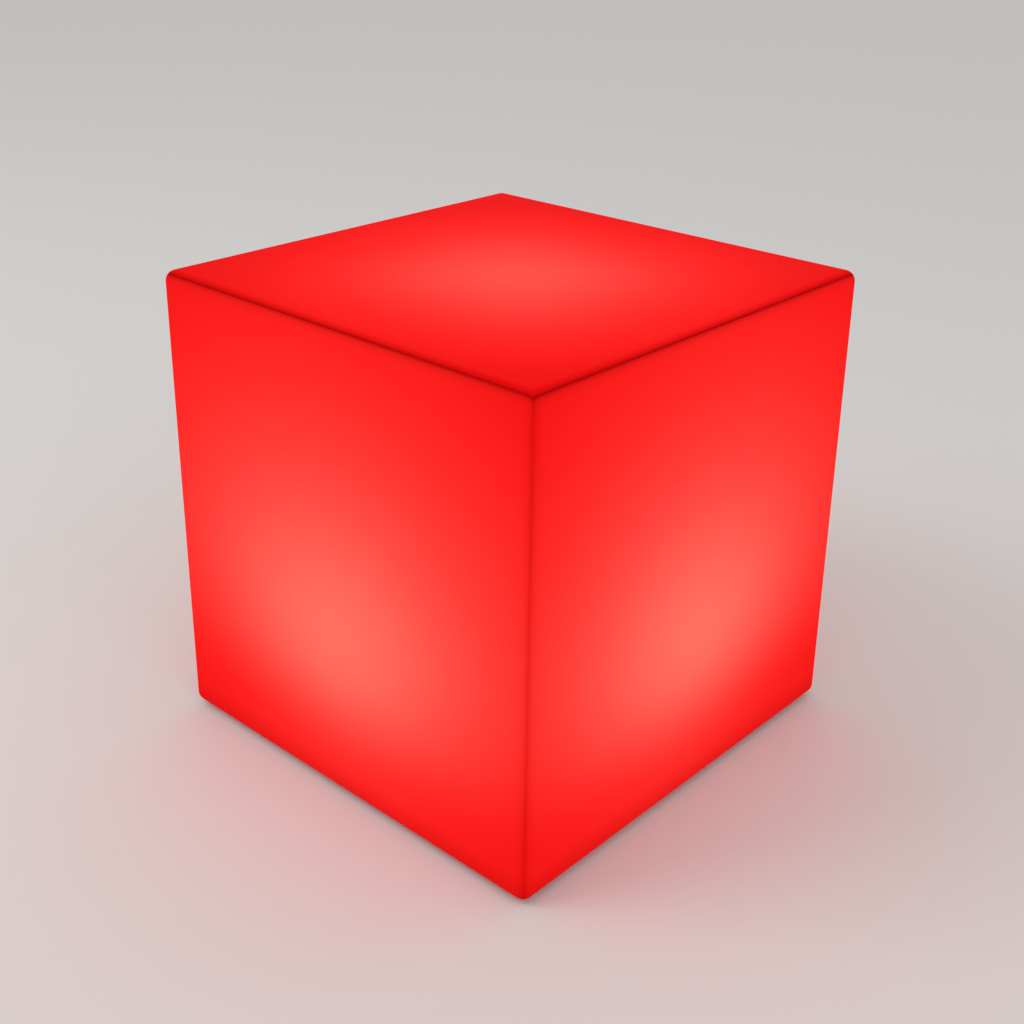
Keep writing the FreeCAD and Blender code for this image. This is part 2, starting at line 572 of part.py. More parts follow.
def make_collar():
    """Bayonet ring: flange with counterbored screw holes, neck, notched lip and stop ribs."""
    body = new_body("collar")
    turned(body, "ring", [
        (LIP_INSIDE, COLLAR_UNDERSIDE),
        (COLLAR_EDGE, COLLAR_UNDERSIDE),
        (COLLAR_EDGE, COLLAR_TOP),
        (NECK_OUTSIDE, COLLAR_TOP),
        (NECK_OUTSIDE, NECK_TOP),
        (NECK_INSIDE, NECK_TOP),
        (NECK_INSIDE, COLLAR_TOP),
        (LIP_INSIDE, COLLAR_TOP),
    ])
    round_edges(body, "outer_rim", "Sizes.collar_thickness / 4", level_edges(COLLAR_UNDERSIDE, COLLAR_EDGE))
    round_edges(body, "neck_rim", "Sizes.neck_wall / 4", level_edges(NECK_TOP))

    unlocked = f"({LOCKED} - Sizes.lock_turn)"
    half_notch = f"({LUG_HALF} + Sizes.notch_play / 2)"
    notch = new_sketch(body, "notch_outline", height=COLLAR_UNDERSIDE)
    sector(notch, f"({LIP_INSIDE} - Sizes.cup_clearance)", NECK_INSIDE,
           f"({unlocked} - {half_notch})", f"({unlocked} + {half_notch})")
    cut = pocket(body, "notch", notch, "Sizes.collar_thickness")
    repeat_round(body, "notches", [cut], "Sizes.lug_count")

    reach = f"({NECK_INSIDE} + Sizes.neck_wall / 2)"
    stop_height = "Sizes.lug_height + Sizes.bayonet_gap"
    first = f"({LOCKED} + {LUG_HALF} + Sizes.stop_gap)"
    last = f"({unlocked} - {LUG_HALF} - Sizes.stop_gap - Sizes.stop_span)"
    for name, bearing in (("lock_stop", first), ("open_stop", last)):
        rib = new_sketch(body, f"{name}_outline", height=COLLAR_TOP)
        sector(rib, f"({LIP_INSIDE} + Sizes.lug_clearance)", reach, bearing, f"({bearing} + Sizes.stop_span)")
        raised = pad(body, name, rib, stop_height)
        repeat_round(body, f"{name}s", [raised], "Sizes.lug_count")

    head = "(Sizes.collar_screw * Sizes.head_ratio / 2 + Sizes.screw_clearance)"
    shank = "(Sizes.collar_screw / 2 + Sizes.screw_clearance)"
    bored = turned(body, "screw_hole", [
        ("0", COLLAR_UNDERSIDE),
        (head, COLLAR_UNDERSIDE),
        (head, COLLAR_HEAD_SEAT),
        (shank, COLLAR_HEAD_SEAT),
        (shank, COLLAR_TOP),
        ("0", COLLAR_TOP),
    ], across=SCREW_CIRCLE, cut=True)
    repeat_round(body, "screw_holes", [bored], "Sizes.insert_count")
    return body


def make_collar_gasket():
    """Flat gasket with a hole for each screw, clamped between the shell and the collar."""
    body = new_body("collar_gasket")
    ring = new_sketch(body, "gasket_outline", height=COLLAR_TOP)
    circle(ring, COLLAR_EDGE)
    circle(ring, f"{MOUTH} + Sizes.neck_clearance")
    pad(body, "gasket", ring, "Sizes.gasket_thickness")
    hole = new_sketch(body, "hole_outline", height=COLLAR_TOP)
    circle(hole, "Sizes.collar_screw / 2 + Sizes.screw_clearance", SCREW_CIRCLE)
    cut = pocket(body, "hole", hole, "Sizes.gasket_thickness")
    repeat_round(body, "holes", [cut], "Sizes.insert_count")
    return body


def make_collar_screws():
    """Pan-head screws that go up through the collar into the inserts."""
    body = new_body("collar_screws")
    screw = turned(body, "screw", screw_outline("Sizes.collar_screw", "Sizes.collar_screw_length",
                                                COLLAR_HEAD_SEAT), across=SCREW_CIRCLE)
    repeat_round(body, "screws", [screw], "Sizes.insert_count")
    return body


# ---------------------------------------------------------------- housing of the light engine

def round_pad(body, name, radius, across, height, length, up="0"):
    """An upright cylinder, named and added."""
    disc = new_sketch(body, f"{name}_outline", height=height)
    circle(disc, radius, across, up)
    return pad(body, name, disc, length)


def round_hole(body, name, radius, across, height, length, up="0"):
    """An upright round hole, cut upwards."""
    disc = new_sketch(body, f"{name}_outline", height=height)
    circle(disc, radius, across, up)
    return pocket(body, name, disc, length)


WINDOW_X = f"({WINDOW_OFFSET} * cos(Sizes.window_angle))"
WINDOW_Y = f"({WINDOW_OFFSET} * sin(Sizes.window_angle))"
PILOT = "(Sizes.small_screw / 2 + Sizes.thread_gap)"
BORE = "(Sizes.button_diameter / 2 + Sizes.button_clearance)"
BUTTON_SHOULDER = f"({ENGINE_UNDERSIDE} + Sizes.button_bore_length)"
CAP_FLANGE = "(Sizes.button_diameter / 2 + Sizes.cap_flange_reach)"
KNOB_ROOF = f"({KNOB_FOOT} + Sizes.knob_thickness + Sizes.plug_clearance)"


def make_engine_base():
    """Moulded housing: cup with flange and seal groove, bayonet lugs, finger wells round a grip bar,
    screw bosses, board posts, battery cradles, button sleeve, socket pocket and window sleeve."""
    body = new_body("engine_base")
    turned(body, "cup", [
        ("0", ENGINE_UNDERSIDE),
        (FLANGE_EDGE, ENGINE_UNDERSIDE),
        (FLANGE_EDGE, FLANGE_TOP),
        (CUP_OUTSIDE, FLANGE_TOP),
        (CUP_OUTSIDE, CUP_RIM),
        (CUP_INSIDE, CUP_RIM),
        (CUP_INSIDE, CUP_FLOOR),
        ("0", CUP_FLOOR),
    ])
    round_edges(body, "flange_rim", "Sizes.engine_flange_thickness / 4",
                level_edges(ENGINE_UNDERSIDE, FLANGE_EDGE))
    groove_low = f"({FLANGE_TOP} - Sizes.seal_groove_depth)"
    groove_half = f"({SEAL_SECTION} / 2 + Sizes.seal_clearance)"
    turned(body, "seal_groove", [
        (f"{SEAL_CIRCLE} - {groove_half}", groove_low),
        (f"{SEAL_CIRCLE} + {groove_half}", groove_low),
        (f"{SEAL_CIRCLE} + {groove_half}", FLANGE_TOP),
        (f"{SEAL_CIRCLE} - {groove_half}", FLANGE_TOP),
    ], cut=True)
    lug = new_sketch(body, "lug_outline", height=LUG_UNDERSIDE)
    sector(lug, f"({CUP_OUTSIDE} - Sizes.cup_wall / 2)", LUG_END,
           f"({LOCKED} - {LUG_HALF})", f"({LOCKED} + {LUG_HALF})")
    raised = pad(body, "lug", lug, "Sizes.lug_height")
    repeat_round(body, "lugs", [raised], "Sizes.lug_count")

    add_finger_wells(body)
    add_posts(body)
    add_cradles(body)
    add_button_sleeve(body)
    add_socket_pocket(body)
    round_pad(body, "window_sleeve", "Sizes.window_sleeve / 2", WINDOW_X, CUP_FLOOR,
              "Sizes.window_sleeve", WINDOW_Y)
    round_hole(body, "window_hole", "Sizes.window_diameter / 2 + Sizes.thread_gap", WINDOW_X,
               ENGINE_UNDERSIDE, "Sizes.floor_thickness + Sizes.window_sleeve", WINDOW_Y)
    return body


def add_finger_wells(body):
    """Two D-shaped wells in the underside, with a bar between them to twist the engine by."""
    round_pad(body, "well_block", "Sizes.well_radius + Sizes.floor_thickness", "0", ENGINE_UNDERSIDE,
              "Sizes.well_depth + Sizes.floor_thickness")
    crown, flat, end = "Sizes.well_radius", "(Sizes.grip_width / 2)", "Sizes.well_end_radius"
    end_y = f"({flat} + {end})"
    end_x = f"sqrt(({crown} - {end})^2 - {end_y}^2)"
    stretch = f"({crown} / ({crown} - {end}))"
    well = new_sketch(body, "well_outline", height=ENGINE_UNDERSIDE)
    outline(well, [
        (f"-{end_x}", flat),
        (end_x, flat, end, 1),
        (f"{end_x} * {stretch}", f"{end_y} * {stretch}", crown, 1),
        (f"-{end_x} * {stretch}", f"{end_y} * {stretch}", end, 1),
    ])
    cut = pocket(body, "well", well, "Sizes.well_depth", "Sizes.well_draft")
    mirror(body, "wells", [cut], "XZ_Plane")
    round_edges(body, "well_rims", "Sizes.grip_radius", level_edges(ENGINE_UNDERSIDE, "0", crown))
    round_edges(body, "well_corners", "Sizes.grip_radius", level_edges(WELL_CEILING, "0", crown))


def add_posts(body):
    """Bosses for the lens screws, and posts for the LED board and the control board, all with pilot holes."""
    depth = "Sizes.small_screw_length"
    for name, circle_radius, radius, foot, top, count, turn in (
            ("lens_post", LENS_SCREW_CIRCLE, "Sizes.lens_boss_diameter / 2", CUP_FLOOR, CUP_RIM,
             "Sizes.lens_screw_count", "30"),
            ("led_post", LED_POST_CIRCLE, "Sizes.post_diameter / 2", CUP_FLOOR, LED_BOARD,
             "Sizes.post_count", "45"),
            ("board_post", BOARD_POST_CIRCLE, "Sizes.post_diameter / 2", WELL_ROOF, CONTROL_BOARD,
             "Sizes.post_count", "45")):
        across, up = f"{circle_radius} * cos({turn})", f"{circle_radius} * sin({turn})"
        raised = round_pad(body, name, radius, across, foot, f"{top} - {foot}", up)
        repeat_round(body, f"{name}s", [raised], count)
        drilled = round_hole(body, f"{name}_pilot", PILOT, across, f"{top} - {depth}", depth, up)
        repeat_round(body, f"{name}_pilots", [drilled], count)


def add_cradles(body):
    """Saddle-topped ribs that the battery cells lie in, two under each cell."""
    saddle = "(Sizes.cell_diameter / 2 + Sizes.seat_clearance)"
    top = f"({CUP_FLOOR} + Sizes.cradle_height)"
    half_gap = f"sqrt({saddle}^2 - ({CELL_AXIS} - {top})^2)"
    low = f"({CUP_FLOOR} - Sizes.floor_thickness / 2)"
    near, far = (f"({CELL_OFFSET} {sign} Sizes.cradle_width / 2)" for sign in "-+")
    ribs = new_sketch(body, "rib_outline", "YZ_Plane", "Sizes.cradle_spacing / 2 - Sizes.rib_thickness / 2")
    for side in (1, -1):
        outline(ribs, [
            (f"{side} * {near}", low),
            (f"{side} * {far}", low),
            (f"{side} * {far}", top),
            (f"{side} * ({CELL_OFFSET} + {half_gap})", top, saddle, -side),
            (f"{side} * ({CELL_OFFSET} - {half_gap})", top),
            (f"{side} * {near}", top),
        ])
    raised = pad(body, "cradle_ribs", ribs, "Sizes.rib_thickness")
    mirror(body, "cradles", [raised], "YZ_Plane")


def add_button_sleeve(body):
    """Sleeve, bore and shallow dish of the push cap."""
    x = FITTING_OFFSET
    height = "Sizes.button_sleeve_height"
    round_pad(body, "button_sleeve", f"{CAP_FLANGE} + Sizes.socket_boss_wall", x, ENGINE_UNDERSIDE, height)
    round_hole(body, "button_bore", BORE, x, ENGINE_UNDERSIDE, height)
    round_hole(body, "button_counterbore", f"{CAP_FLANGE} + Sizes.seat_clearance", x, BUTTON_SHOULDER,
               f"{height} - Sizes.button_bore_length")
    round_hole(body, "button_dish", "Sizes.button_dish_diameter / 2", x, ENGINE_UNDERSIDE,
               "Sizes.button_sink")


def add_socket_pocket(body):
    """Pocket for the port plug, channel and captive guide for its tether, and the socket's panel hole."""
    x = f"-{FITTING_OFFSET}"
    pocket_radius = "Sizes.socket_recess_diameter / 2"
    arm = "(Sizes.tether_width + 2 * Sizes.plug_clearance)"
    round_pad(body, "socket_boss", f"{pocket_radius} + Sizes.socket_boss_wall", x, ENGINE_UNDERSIDE,
              "Sizes.socket_recess_depth + Sizes.socket_boss_wall")
    block = new_sketch(body, "tether_block_outline", height=ENGINE_UNDERSIDE)
    rectangle(block, f"({arm} + 2 * Sizes.socket_boss_wall)", "Sizes.tether_reach", x,
              "Sizes.tether_reach / 2")
    pad(body, "tether_block", block, f"{KNOB_SEAT} - {ENGINE_UNDERSIDE}")
    round_pad(body, "tether_boss", f"{arm} / 2 + Sizes.socket_boss_wall", x, ENGINE_UNDERSIDE,
              f"{KNOB_ROOF} + Sizes.socket_boss_wall - {ENGINE_UNDERSIDE}", "Sizes.tether_reach")
    round_hole(body, "plug_pocket", pocket_radius, x, ENGINE_UNDERSIDE, "Sizes.socket_recess_depth")
    round_hole(body, "panel_hole", "Sizes.socket_barrel / 2 + Sizes.thread_gap", x, SOCKET_CEILING,
               "Sizes.socket_boss_wall")
    channel = new_sketch(body, "channel_outline", height=ENGINE_UNDERSIDE)
    rectangle(channel, arm, "Sizes.tether_reach", x, "Sizes.tether_reach / 2")
    channel_depth = f"{TETHER_CEILING} - {ENGINE_UNDERSIDE}"
    pocket(body, "tether_channel", channel, channel_depth)
    round_hole(body, "channel_end", f"{arm} / 2", x, ENGINE_UNDERSIDE, channel_depth, "Sizes.tether_reach")
    stem = "(Sizes.tether_stem / 2 + Sizes.plug_clearance)"
    knob = "(Sizes.tether_knob / 2 + Sizes.plug_clearance)"
    turned(body, "knob_guide", [
        ("0", TETHER_CEILING),
        (stem, TETHER_CEILING),
        (stem, KNOB_SEAT),
        (knob, KNOB_SEAT),
        (knob, KNOB_ROOF),
        ("0", KNOB_ROOF),
    ], across=x, height="-Sizes.tether_reach", cut=True)


def make_engine_seal():
    """Rubber ring between the engine's flange and the collar."""
    body = new_body("engine_seal")
    section = new_sketch(body, "section", "XZ_Plane")
    circle(section, f"{SEAL_SECTION} / 2", SEAL_CIRCLE,
           f"{FLANGE_TOP} - Sizes.seal_groove_depth + {SEAL_SECTION} / 2")
    return ring_of(body, section)


def ring_of(body, section, axis="V_Axis"):
    """Turn a round section into a ring."""
    ring = body.newObject("PartDesign::Revolution", "ring")
    ring.Profile = section
    ring.ReferenceAxis = (section, [axis])
    ring.Angle = 360
    document.recompute()
    return body


# ---------------------------------------------------------------- lens and its screws

def make_lens_gasket():
    """Flat gasket between the rim of the cup and the lens."""
    body = new_body("lens_gasket")
    ring = new_sketch(body, "gasket_outline", height=CUP_RIM)
    circle(ring, CUP_OUTSIDE)
    circle(ring, DOME_INSIDE)
    pad(body, "gasket", ring, "Sizes.gasket_thickness")
    return with_screw_holes(body, CUP_RIM, "Sizes.gasket_thickness", LENS_SCREW_CIRCLE, "30",
                            "Sizes.lens_screw_count")


def with_screw_holes(body, height, depth, circle_radius, bearing, count):
    """Clearance holes for small screws, evenly spaced on a circle."""
    hole = round_hole(body, "screw_hole", "Sizes.small_screw / 2 + Sizes.screw_clearance",
                      f"{circle_radius} * cos({bearing})", height, depth, f"{circle_radius} * sin({bearing})")
    repeat_round(body, "screw_holes", [hole], count)
    return body


def dome_curve(radius, rise):
    """Radius of the sphere of which a cap has this foot radius and rise."""
    return f"(({radius}^2 + ({rise})^2) / (2 * ({rise})))"


def make_lens_cover():
    """Frosted dome with a flat flange."""
    body = new_body("lens_cover")
    apex = f"({LENS_FLANGE_TOP} + Sizes.dome_rise)"
    inner_rise = "Sizes.dome_rise - Sizes.lens_wall"
    turned(body, "dome", [
        (DOME_INSIDE, LENS_FOOT),
        (CUP_OUTSIDE, LENS_FOOT),
        (CUP_OUTSIDE, LENS_FLANGE_TOP),
        (DOME_EDGE, LENS_FLANGE_TOP, dome_curve(DOME_EDGE, "Sizes.dome_rise"), 1),
        ("0", apex),
        ("0", f"{apex} - Sizes.lens_wall", dome_curve(DOME_INSIDE, inner_rise), -1),
        (DOME_INSIDE, LENS_FLANGE_TOP),
    ])
    return with_screw_holes(body, LENS_FOOT, "Sizes.lens_flange_thickness", LENS_SCREW_CIRCLE, "30",
                            "Sizes.lens_screw_count")


def make_small_screws(label, circle_radius, bearing, count, seat):
    """Small pan-head screws that go down into pilot holes, evenly spaced on a circle."""
    body = new_body(label)
    across = f"{circle_radius} * cos({bearing})"
    back = f"-{circle_radius} * sin({bearing})"
    screw = turned(body, "screw", screw_outline("Sizes.small_screw", "Sizes.small_screw_length", seat, -1),
                   across=across, height=back)
    repeat_round(body, "screws", [screw], count)
    return body


def make_lens_screws():
    """Screws of the lens."""
    return make_small_screws("lens_screws", LENS_SCREW_CIRCLE, "30", "Sizes.lens_screw_count",
                             LENS_FLANGE_TOP)


# ---------------------------------------------------------------- boards and what is on them

def make_led_board():
    """Round aluminium-core board on four posts, with a hole in the middle for its leads."""
    body = new_body("led_board")
    disc = new_sketch(body, "board_outline", height=LED_BOARD)
    circle(disc, LED_BOARD_EDGE)
    circle(disc, "Sizes.lead_hole_diameter / 2")
    pad(body, "board", disc, "Sizes.board_thickness")
    return with_screw_holes(body, LED_BOARD, "Sizes.board_thickness", LED_POST_CIRCLE, "45",
                            "Sizes.post_count")


def make_led_board_screws():
    """Screws of the LED board."""
    return make_small_screws("led_board_screws", LED_POST_CIRCLE, "45", "Sizes.post_count",
                             LED_BOARD_TOP)


def make_led_chips():
    """Rings of square surface-mounted LEDs."""
    body = new_body("led_chips")
    for ring in range(LED_RINGS):
        distance = f"(Sizes.led_ring_one + {ring} * Sizes.led_ring_step)"
        square = new_sketch(body, f"led_outline_{ring}", height=LED_BOARD_TOP)
        rectangle(square, "Sizes.led_size", "Sizes.led_size", distance)
        led = pad(body, f"led_{ring}", square, "Sizes.led_height")
        repeat_round(body, f"led_ring_{ring}", [led], f"Sizes.led_count_one + {ring} * Sizes.led_count_step")
    return body


def make_remote_receiver():
    """Small infrared receiver between two rings of LEDs, looking up through the lens."""
    body = new_body("remote_receiver")
    block = new_sketch(body, "receiver_outline", height=LED_BOARD_TOP)
    rectangle(block, "Sizes.receiver_width", "Sizes.receiver_depth", "0",
              "(Sizes.led_ring_one + Sizes.led_ring_step / 2)")
    pad(body, "receiver", block, "Sizes.receiver_height")
    top = at(f"{LED_BOARD_TOP} + Sizes.receiver_height")
    round_edges(body, "receiver_edges", "Sizes.receiver_depth / 4",
                lambda edge: edge.BoundBox.ZMin > top - TOUCH)
    return body


def make_control_board():
    """Board over the wells, with rounded corners, on four short posts."""
    body = new_body("control_board")
    block = new_sketch(body, "board_outline", height=CONTROL_BOARD)
    rectangle(block, f"2 * {BOARD_END}", f"2 * {BOARD_SIDE}")
    pad(body, "board", block, "Sizes.board_thickness")
    round_edges(body, "corners", "Sizes.control_board_corner",
                lambda edge: edge.BoundBox.ZLength > TOUCH)
    return with_screw_holes(body, CONTROL_BOARD, "Sizes.board_thickness", BOARD_POST_CIRCLE, "45",
                            "Sizes.post_count")


def make_control_board_screws():
    """Screws of the control board."""
    return make_small_screws("control_board_screws", BOARD_POST_CIRCLE, "45", "Sizes.post_count",
                             CONTROL_TOP)


def row_along(body, name, feature, count, spacing):
    """Repeat a feature along X."""
    pattern = body.newObject("PartDesign::LinearPattern", name)
    pattern.Originals = [feature]
    pattern.Direction = (origin_of(body, "X_Axis"), [""])
    pattern.setExpression("Occurrences", count)
    pattern.setExpression("Length", f"({count} - 1) * {spacing}")
    body.Tip = pattern
    document.recompute()


def make_control_chips():
    """A row of integrated circuits."""
    body = new_body("control_chips")
    square = new_sketch(body, "chip_outline", height=CONTROL_TOP)
    first = "(-(Sizes.chip_count - 1) * Sizes.chip_spacing / 2)"
    rectangle(square, "Sizes.chip_side", "Sizes.chip_side", first, "Sizes.parts_offset")
    chip = pad(body, "chip", square, "Sizes.chip_height")
    row_along(body, "chips", chip, "Sizes.chip_count", "Sizes.chip_spacing")
    return body


def make_capacitors():
    """A row of upright capacitors."""
    body = new_body("capacitors")
    can = round_pad(body, "capacitor", "Sizes.capacitor_diameter / 2", "Sizes.capacitor_spacing / 2",
                    CONTROL_TOP, "Sizes.capacitor_height", "-Sizes.parts_offset")
    row_along(body, "row", can, "2", "Sizes.capacitor_spacing")
    return body


def make_charger_coil():
    """Square shielded coil of the charger, with bevelled upright edges."""
    body = new_body("charger_coil")
    square = new_sketch(body, "coil_outline", height=CONTROL_TOP)
    rectangle(square, "Sizes.coil_side", "Sizes.coil_side", "-Sizes.capacitor_spacing", "-Sizes.parts_offset")
    pad(body, "coil", square, "Sizes.coil_height")
    round_edges(body, "coil_corners", "Sizes.coil_side / 5", lambda edge: edge.BoundBox.ZLength > TOUCH,
                "PartDesign::Chamfer")
    return body


def make_led_connector():
    """Connector in the middle of the control board, for the leads of the LED board."""
    body = new_body("led_connector")
    block = new_sketch(body, "connector_outline", height=CONTROL_TOP)
    rectangle(block, "Sizes.connector_length", "Sizes.connector_width")
    pad(body, "connector", block, "Sizes.connector_height")
    return body


# ---------------------------------------------------------------- switch and push cap

def make_switch_body():
    """Body of the switch, under the control board, with a well for its plunger."""
    body = new_body("switch_body")
    square = new_sketch(body, "switch_outline", height=SWITCH_UNDERSIDE)
    rectangle(square, "Sizes.switch_side", "Sizes.switch_side", FITTING_OFFSET)
    pad(body, "switch", square, "Sizes.switch_height")
    round_hole(body, "plunger_well", "Sizes.plunger_diameter / 2 + Sizes.button_clearance",
               FITTING_OFFSET, SWITCH_UNDERSIDE,
               "Sizes.plunger_inside + Sizes.button_travel + Sizes.button_clearance")
    return body


def make_switch_plunger():
    """Plunger of the switch; the push cap's stem rests on it."""
    body = new_body("switch_plunger")
    round_pad(body, "plunger", "Sizes.plunger_diameter / 2", FITTING_OFFSET, PLUNGER_FOOT,
              "Sizes.plunger_length")
    return body


CAP_FACE = f"({ENGINE_UNDERSIDE} + Sizes.cap_sink)"
CAP_FLANGE_FOOT = f"({BUTTON_SHOULDER} + Sizes.button_clearance)"
CAP_RING_MIDDLE = f"(({ENGINE_UNDERSIDE} + Sizes.button_sink + {CAP_FLANGE_FOOT}) / 2)"
CAP_RING_CIRCLE = f"({BORE} - Sizes.cap_ring_gap - Sizes.cap_ring_section / 2)"


def make_power_button():
    """Push cap with a dished face, a ring groove, a flange that holds it captive, and a stem."""
    body = new_body("power_button")
    cap = "Sizes.button_diameter / 2"
    groove = f"({CAP_RING_CIRCLE} - Sizes.cap_ring_section / 2 - Sizes.cap_ring_gap)"
    half = "(Sizes.cap_ring_section / 2 + Sizes.cap_ring_gap)"
    flange_top = f"({CAP_FLANGE_FOOT} + Sizes.cap_flange_thickness)"
    dish = dome_curve("(Sizes.button_diameter / 2 - Sizes.cap_rim)", "Sizes.cap_dish")
    turned(body, "cap", [
        ("0", f"{CAP_FACE} + Sizes.cap_dish", dish, -1),
        (f"{cap} - Sizes.cap_rim", CAP_FACE),
        (cap, CAP_FACE),
        (cap, f"{CAP_RING_MIDDLE} - {half}"),
        (groove, f"{CAP_RING_MIDDLE} - {half}"),
        (groove, f"{CAP_RING_MIDDLE} + {half}"),
        (cap, f"{CAP_RING_MIDDLE} + {half}"),
        (cap, CAP_FLANGE_FOOT),
        (CAP_FLANGE, CAP_FLANGE_FOOT),
        (CAP_FLANGE, flange_top),
        ("Sizes.button_stem / 2", flange_top),
        ("Sizes.button_stem / 2", PLUNGER_FOOT),
        ("0", PLUNGER_FOOT),
    ], across=FITTING_OFFSET)
    return body


def make_button_ring():
    """Rubber ring that seals the push cap in its bore."""
    body = new_body("button_ring")
    section = new_sketch(body, "section", "XZ_Plane", across=FITTING_OFFSET)
    circle(section, "Sizes.cap_ring_section / 2", CAP_RING_CIRCLE, CAP_RING_MIDDLE)
    return ring_of(body, section)


# ---------------------------------------------------------------- charging socket and its plug

def make_charge_socket():
    """Round socket with a threaded barrel, a centre pin and two solder pins."""
    body = new_body("charge_socket")
    back = f"({SOCKET_PANEL} + Sizes.socket_body_height)"
    bore_end = f"({SOCKET_MOUTH} + Sizes.socket_bore_depth)"
    turned(body, "socket", [
        ("0", f"{SOCKET_MOUTH} + Sizes.socket_pin_sink"),
        ("Sizes.socket_pin / 2", f"{SOCKET_MOUTH} + Sizes.socket_pin_sink"),
        ("Sizes.socket_pin / 2", bore_end),
        ("Sizes.socket_bore / 2", bore_end),
        ("Sizes.socket_bore / 2", SOCKET_MOUTH),
        ("Sizes.socket_barrel / 2", SOCKET_MOUTH),
        ("Sizes.socket_barrel / 2", SOCKET_PANEL),
        ("Sizes.socket_body / 2", SOCKET_PANEL),
        ("Sizes.socket_body / 2", back),
        ("0", back),
    ], across=f"-{FITTING_OFFSET}")
    pins = new_sketch(body, "pin_outline", height=back)
    for side in (1, -1):
        rectangle(pins, "Sizes.solder_pin", "Sizes.solder_pin", f"-{FITTING_OFFSET}",
                  f"({side} * Sizes.socket_body / 4)")
    pad(body, "solder_pins", pins, f"{CONTROL_BOARD} - {back}")
    return body


def make_socket_nut():
    """Hexagon nut on the socket's barrel."""
    body = new_body("socket_nut")
    hexagon = new_sketch(body, "nut_outline", height=SOCKET_MOUTH)
    bearings = [60 * corner for corner in range(6)]
    outline(hexagon, [(f"{NUT_REACH} * cos({bearing}) - {FITTING_OFFSET}", f"{NUT_REACH} * sin({bearing})")
                      for bearing in bearings])
    circle(hexagon, "Sizes.socket_barrel / 2 + Sizes.thread_gap", f"-{FITTING_OFFSET}")
    pad(body, "nut", hexagon, "Sizes.nut_thickness")
    return body


def make_port_plug():
    """Soft plug: skirted head, hollow spigot, and a tether whose knobbed stem stays in the base."""
    body = new_body("port_plug")
    x = f"-{FITTING_OFFSET}"
    head = "(Sizes.socket_recess_diameter / 2 - Sizes.plug_clearance)"
    head_top = f"({PLUG_FACE} + Sizes.tether_thickness)"
    skirt = f"({NUT_REACH} + Sizes.plug_clearance)"
    skirt_top = f"({SOCKET_CEILING} - Sizes.plug_clearance)"
    spigot = "(Sizes.socket_bore / 2 - Sizes.plug_fit)"
    spigot_top = f"({SOCKET_MOUTH} + Sizes.plug_travel - Sizes.plug_clearance)"
    hollow = "(Sizes.socket_pin / 2 + Sizes.plug_clearance)"
    turned(body, "head", [
        ("0", PLUG_FACE),
        (head, PLUG_FACE),
        (head, skirt_top),
        (skirt, skirt_top),
        (skirt, head_top),
        (spigot, head_top),
        (spigot, spigot_top),
        (hollow, spigot_top),
        (hollow, head_top),
        ("0", head_top),
    ], across=x)
    tether = new_sketch(body, "tether_outline", height=PLUG_FACE)
    rectangle(tether, "Sizes.tether_width", "Sizes.tether_reach", x, "Sizes.tether_reach / 2")
    pad(body, "tether", tether, "Sizes.tether_thickness")
    round_pad(body, "tether_end", "Sizes.tether_width / 2", x, PLUG_FACE, "Sizes.tether_thickness",
              "Sizes.tether_reach")
    round_pad(body, "tether_stem", "Sizes.tether_stem / 2", x, PLUG_FACE, f"{KNOB_FOOT} - {PLUG_FACE}",
              "Sizes.tether_reach")
    round_pad(body, "tether_knob", "Sizes.tether_knob / 2", x, KNOB_FOOT, "Sizes.knob_thickness",
              "Sizes.tether_reach")
    return body


def make_charge_window():
    """Clear light pipe that carries the charging light to the underside."""
    body = new_body("charge_window")
    sleeve_top = f"({CUP_FLOOR} + Sizes.window_sleeve)"
    pipe_top = f"({CONTROL_BOARD} - Sizes.window_gap)"
    turned(body, "pipe", [
        ("0", f"{ENGINE_UNDERSIDE} + Sizes.seat_clearance"),
        ("Sizes.window_diameter / 2", f"{ENGINE_UNDERSIDE} + Sizes.seat_clearance"),
        ("Sizes.window_diameter / 2", sleeve_top),
        ("Sizes.window_sleeve / 2", sleeve_top),
        ("Sizes.window_sleeve / 2", f"{sleeve_top} + Sizes.window_gap"),
        ("Sizes.window_diameter / 2", f"{sleeve_top} + Sizes.window_gap"),
        ("Sizes.window_diameter / 2", pipe_top),
        ("0", pipe_top),
    ], across=WINDOW_X, height=f"-{WINDOW_Y}")
    return body


# ---------------------------------------------------------------- battery and leads

def make_battery_cells():
    """Two round cells in their cradles, each with a contact at both ends."""
    body = new_body("battery_cells")
    for side in (1, -1):
        name = "near" if side > 0 else "far"
        middle = f"({side} * {CELL_OFFSET})"
        disc = new_sketch(body, f"{name}_outline", "YZ_Plane")
        circle(disc, "Sizes.cell_diameter / 2", middle, CELL_AXIS)
        pad(body, f"{name}_cell", disc, "Sizes.cell_length", midplane=True)
        nub = new_sketch(body, f"{name}_contact_outline", "YZ_Plane")
        circle(nub, "Sizes.cell_diameter / 6", middle, CELL_AXIS)
        pad(body, f"{name}_contacts", nub, "Sizes.cell_length + 2 * Sizes.cell_nub", midplane=True)
    return body


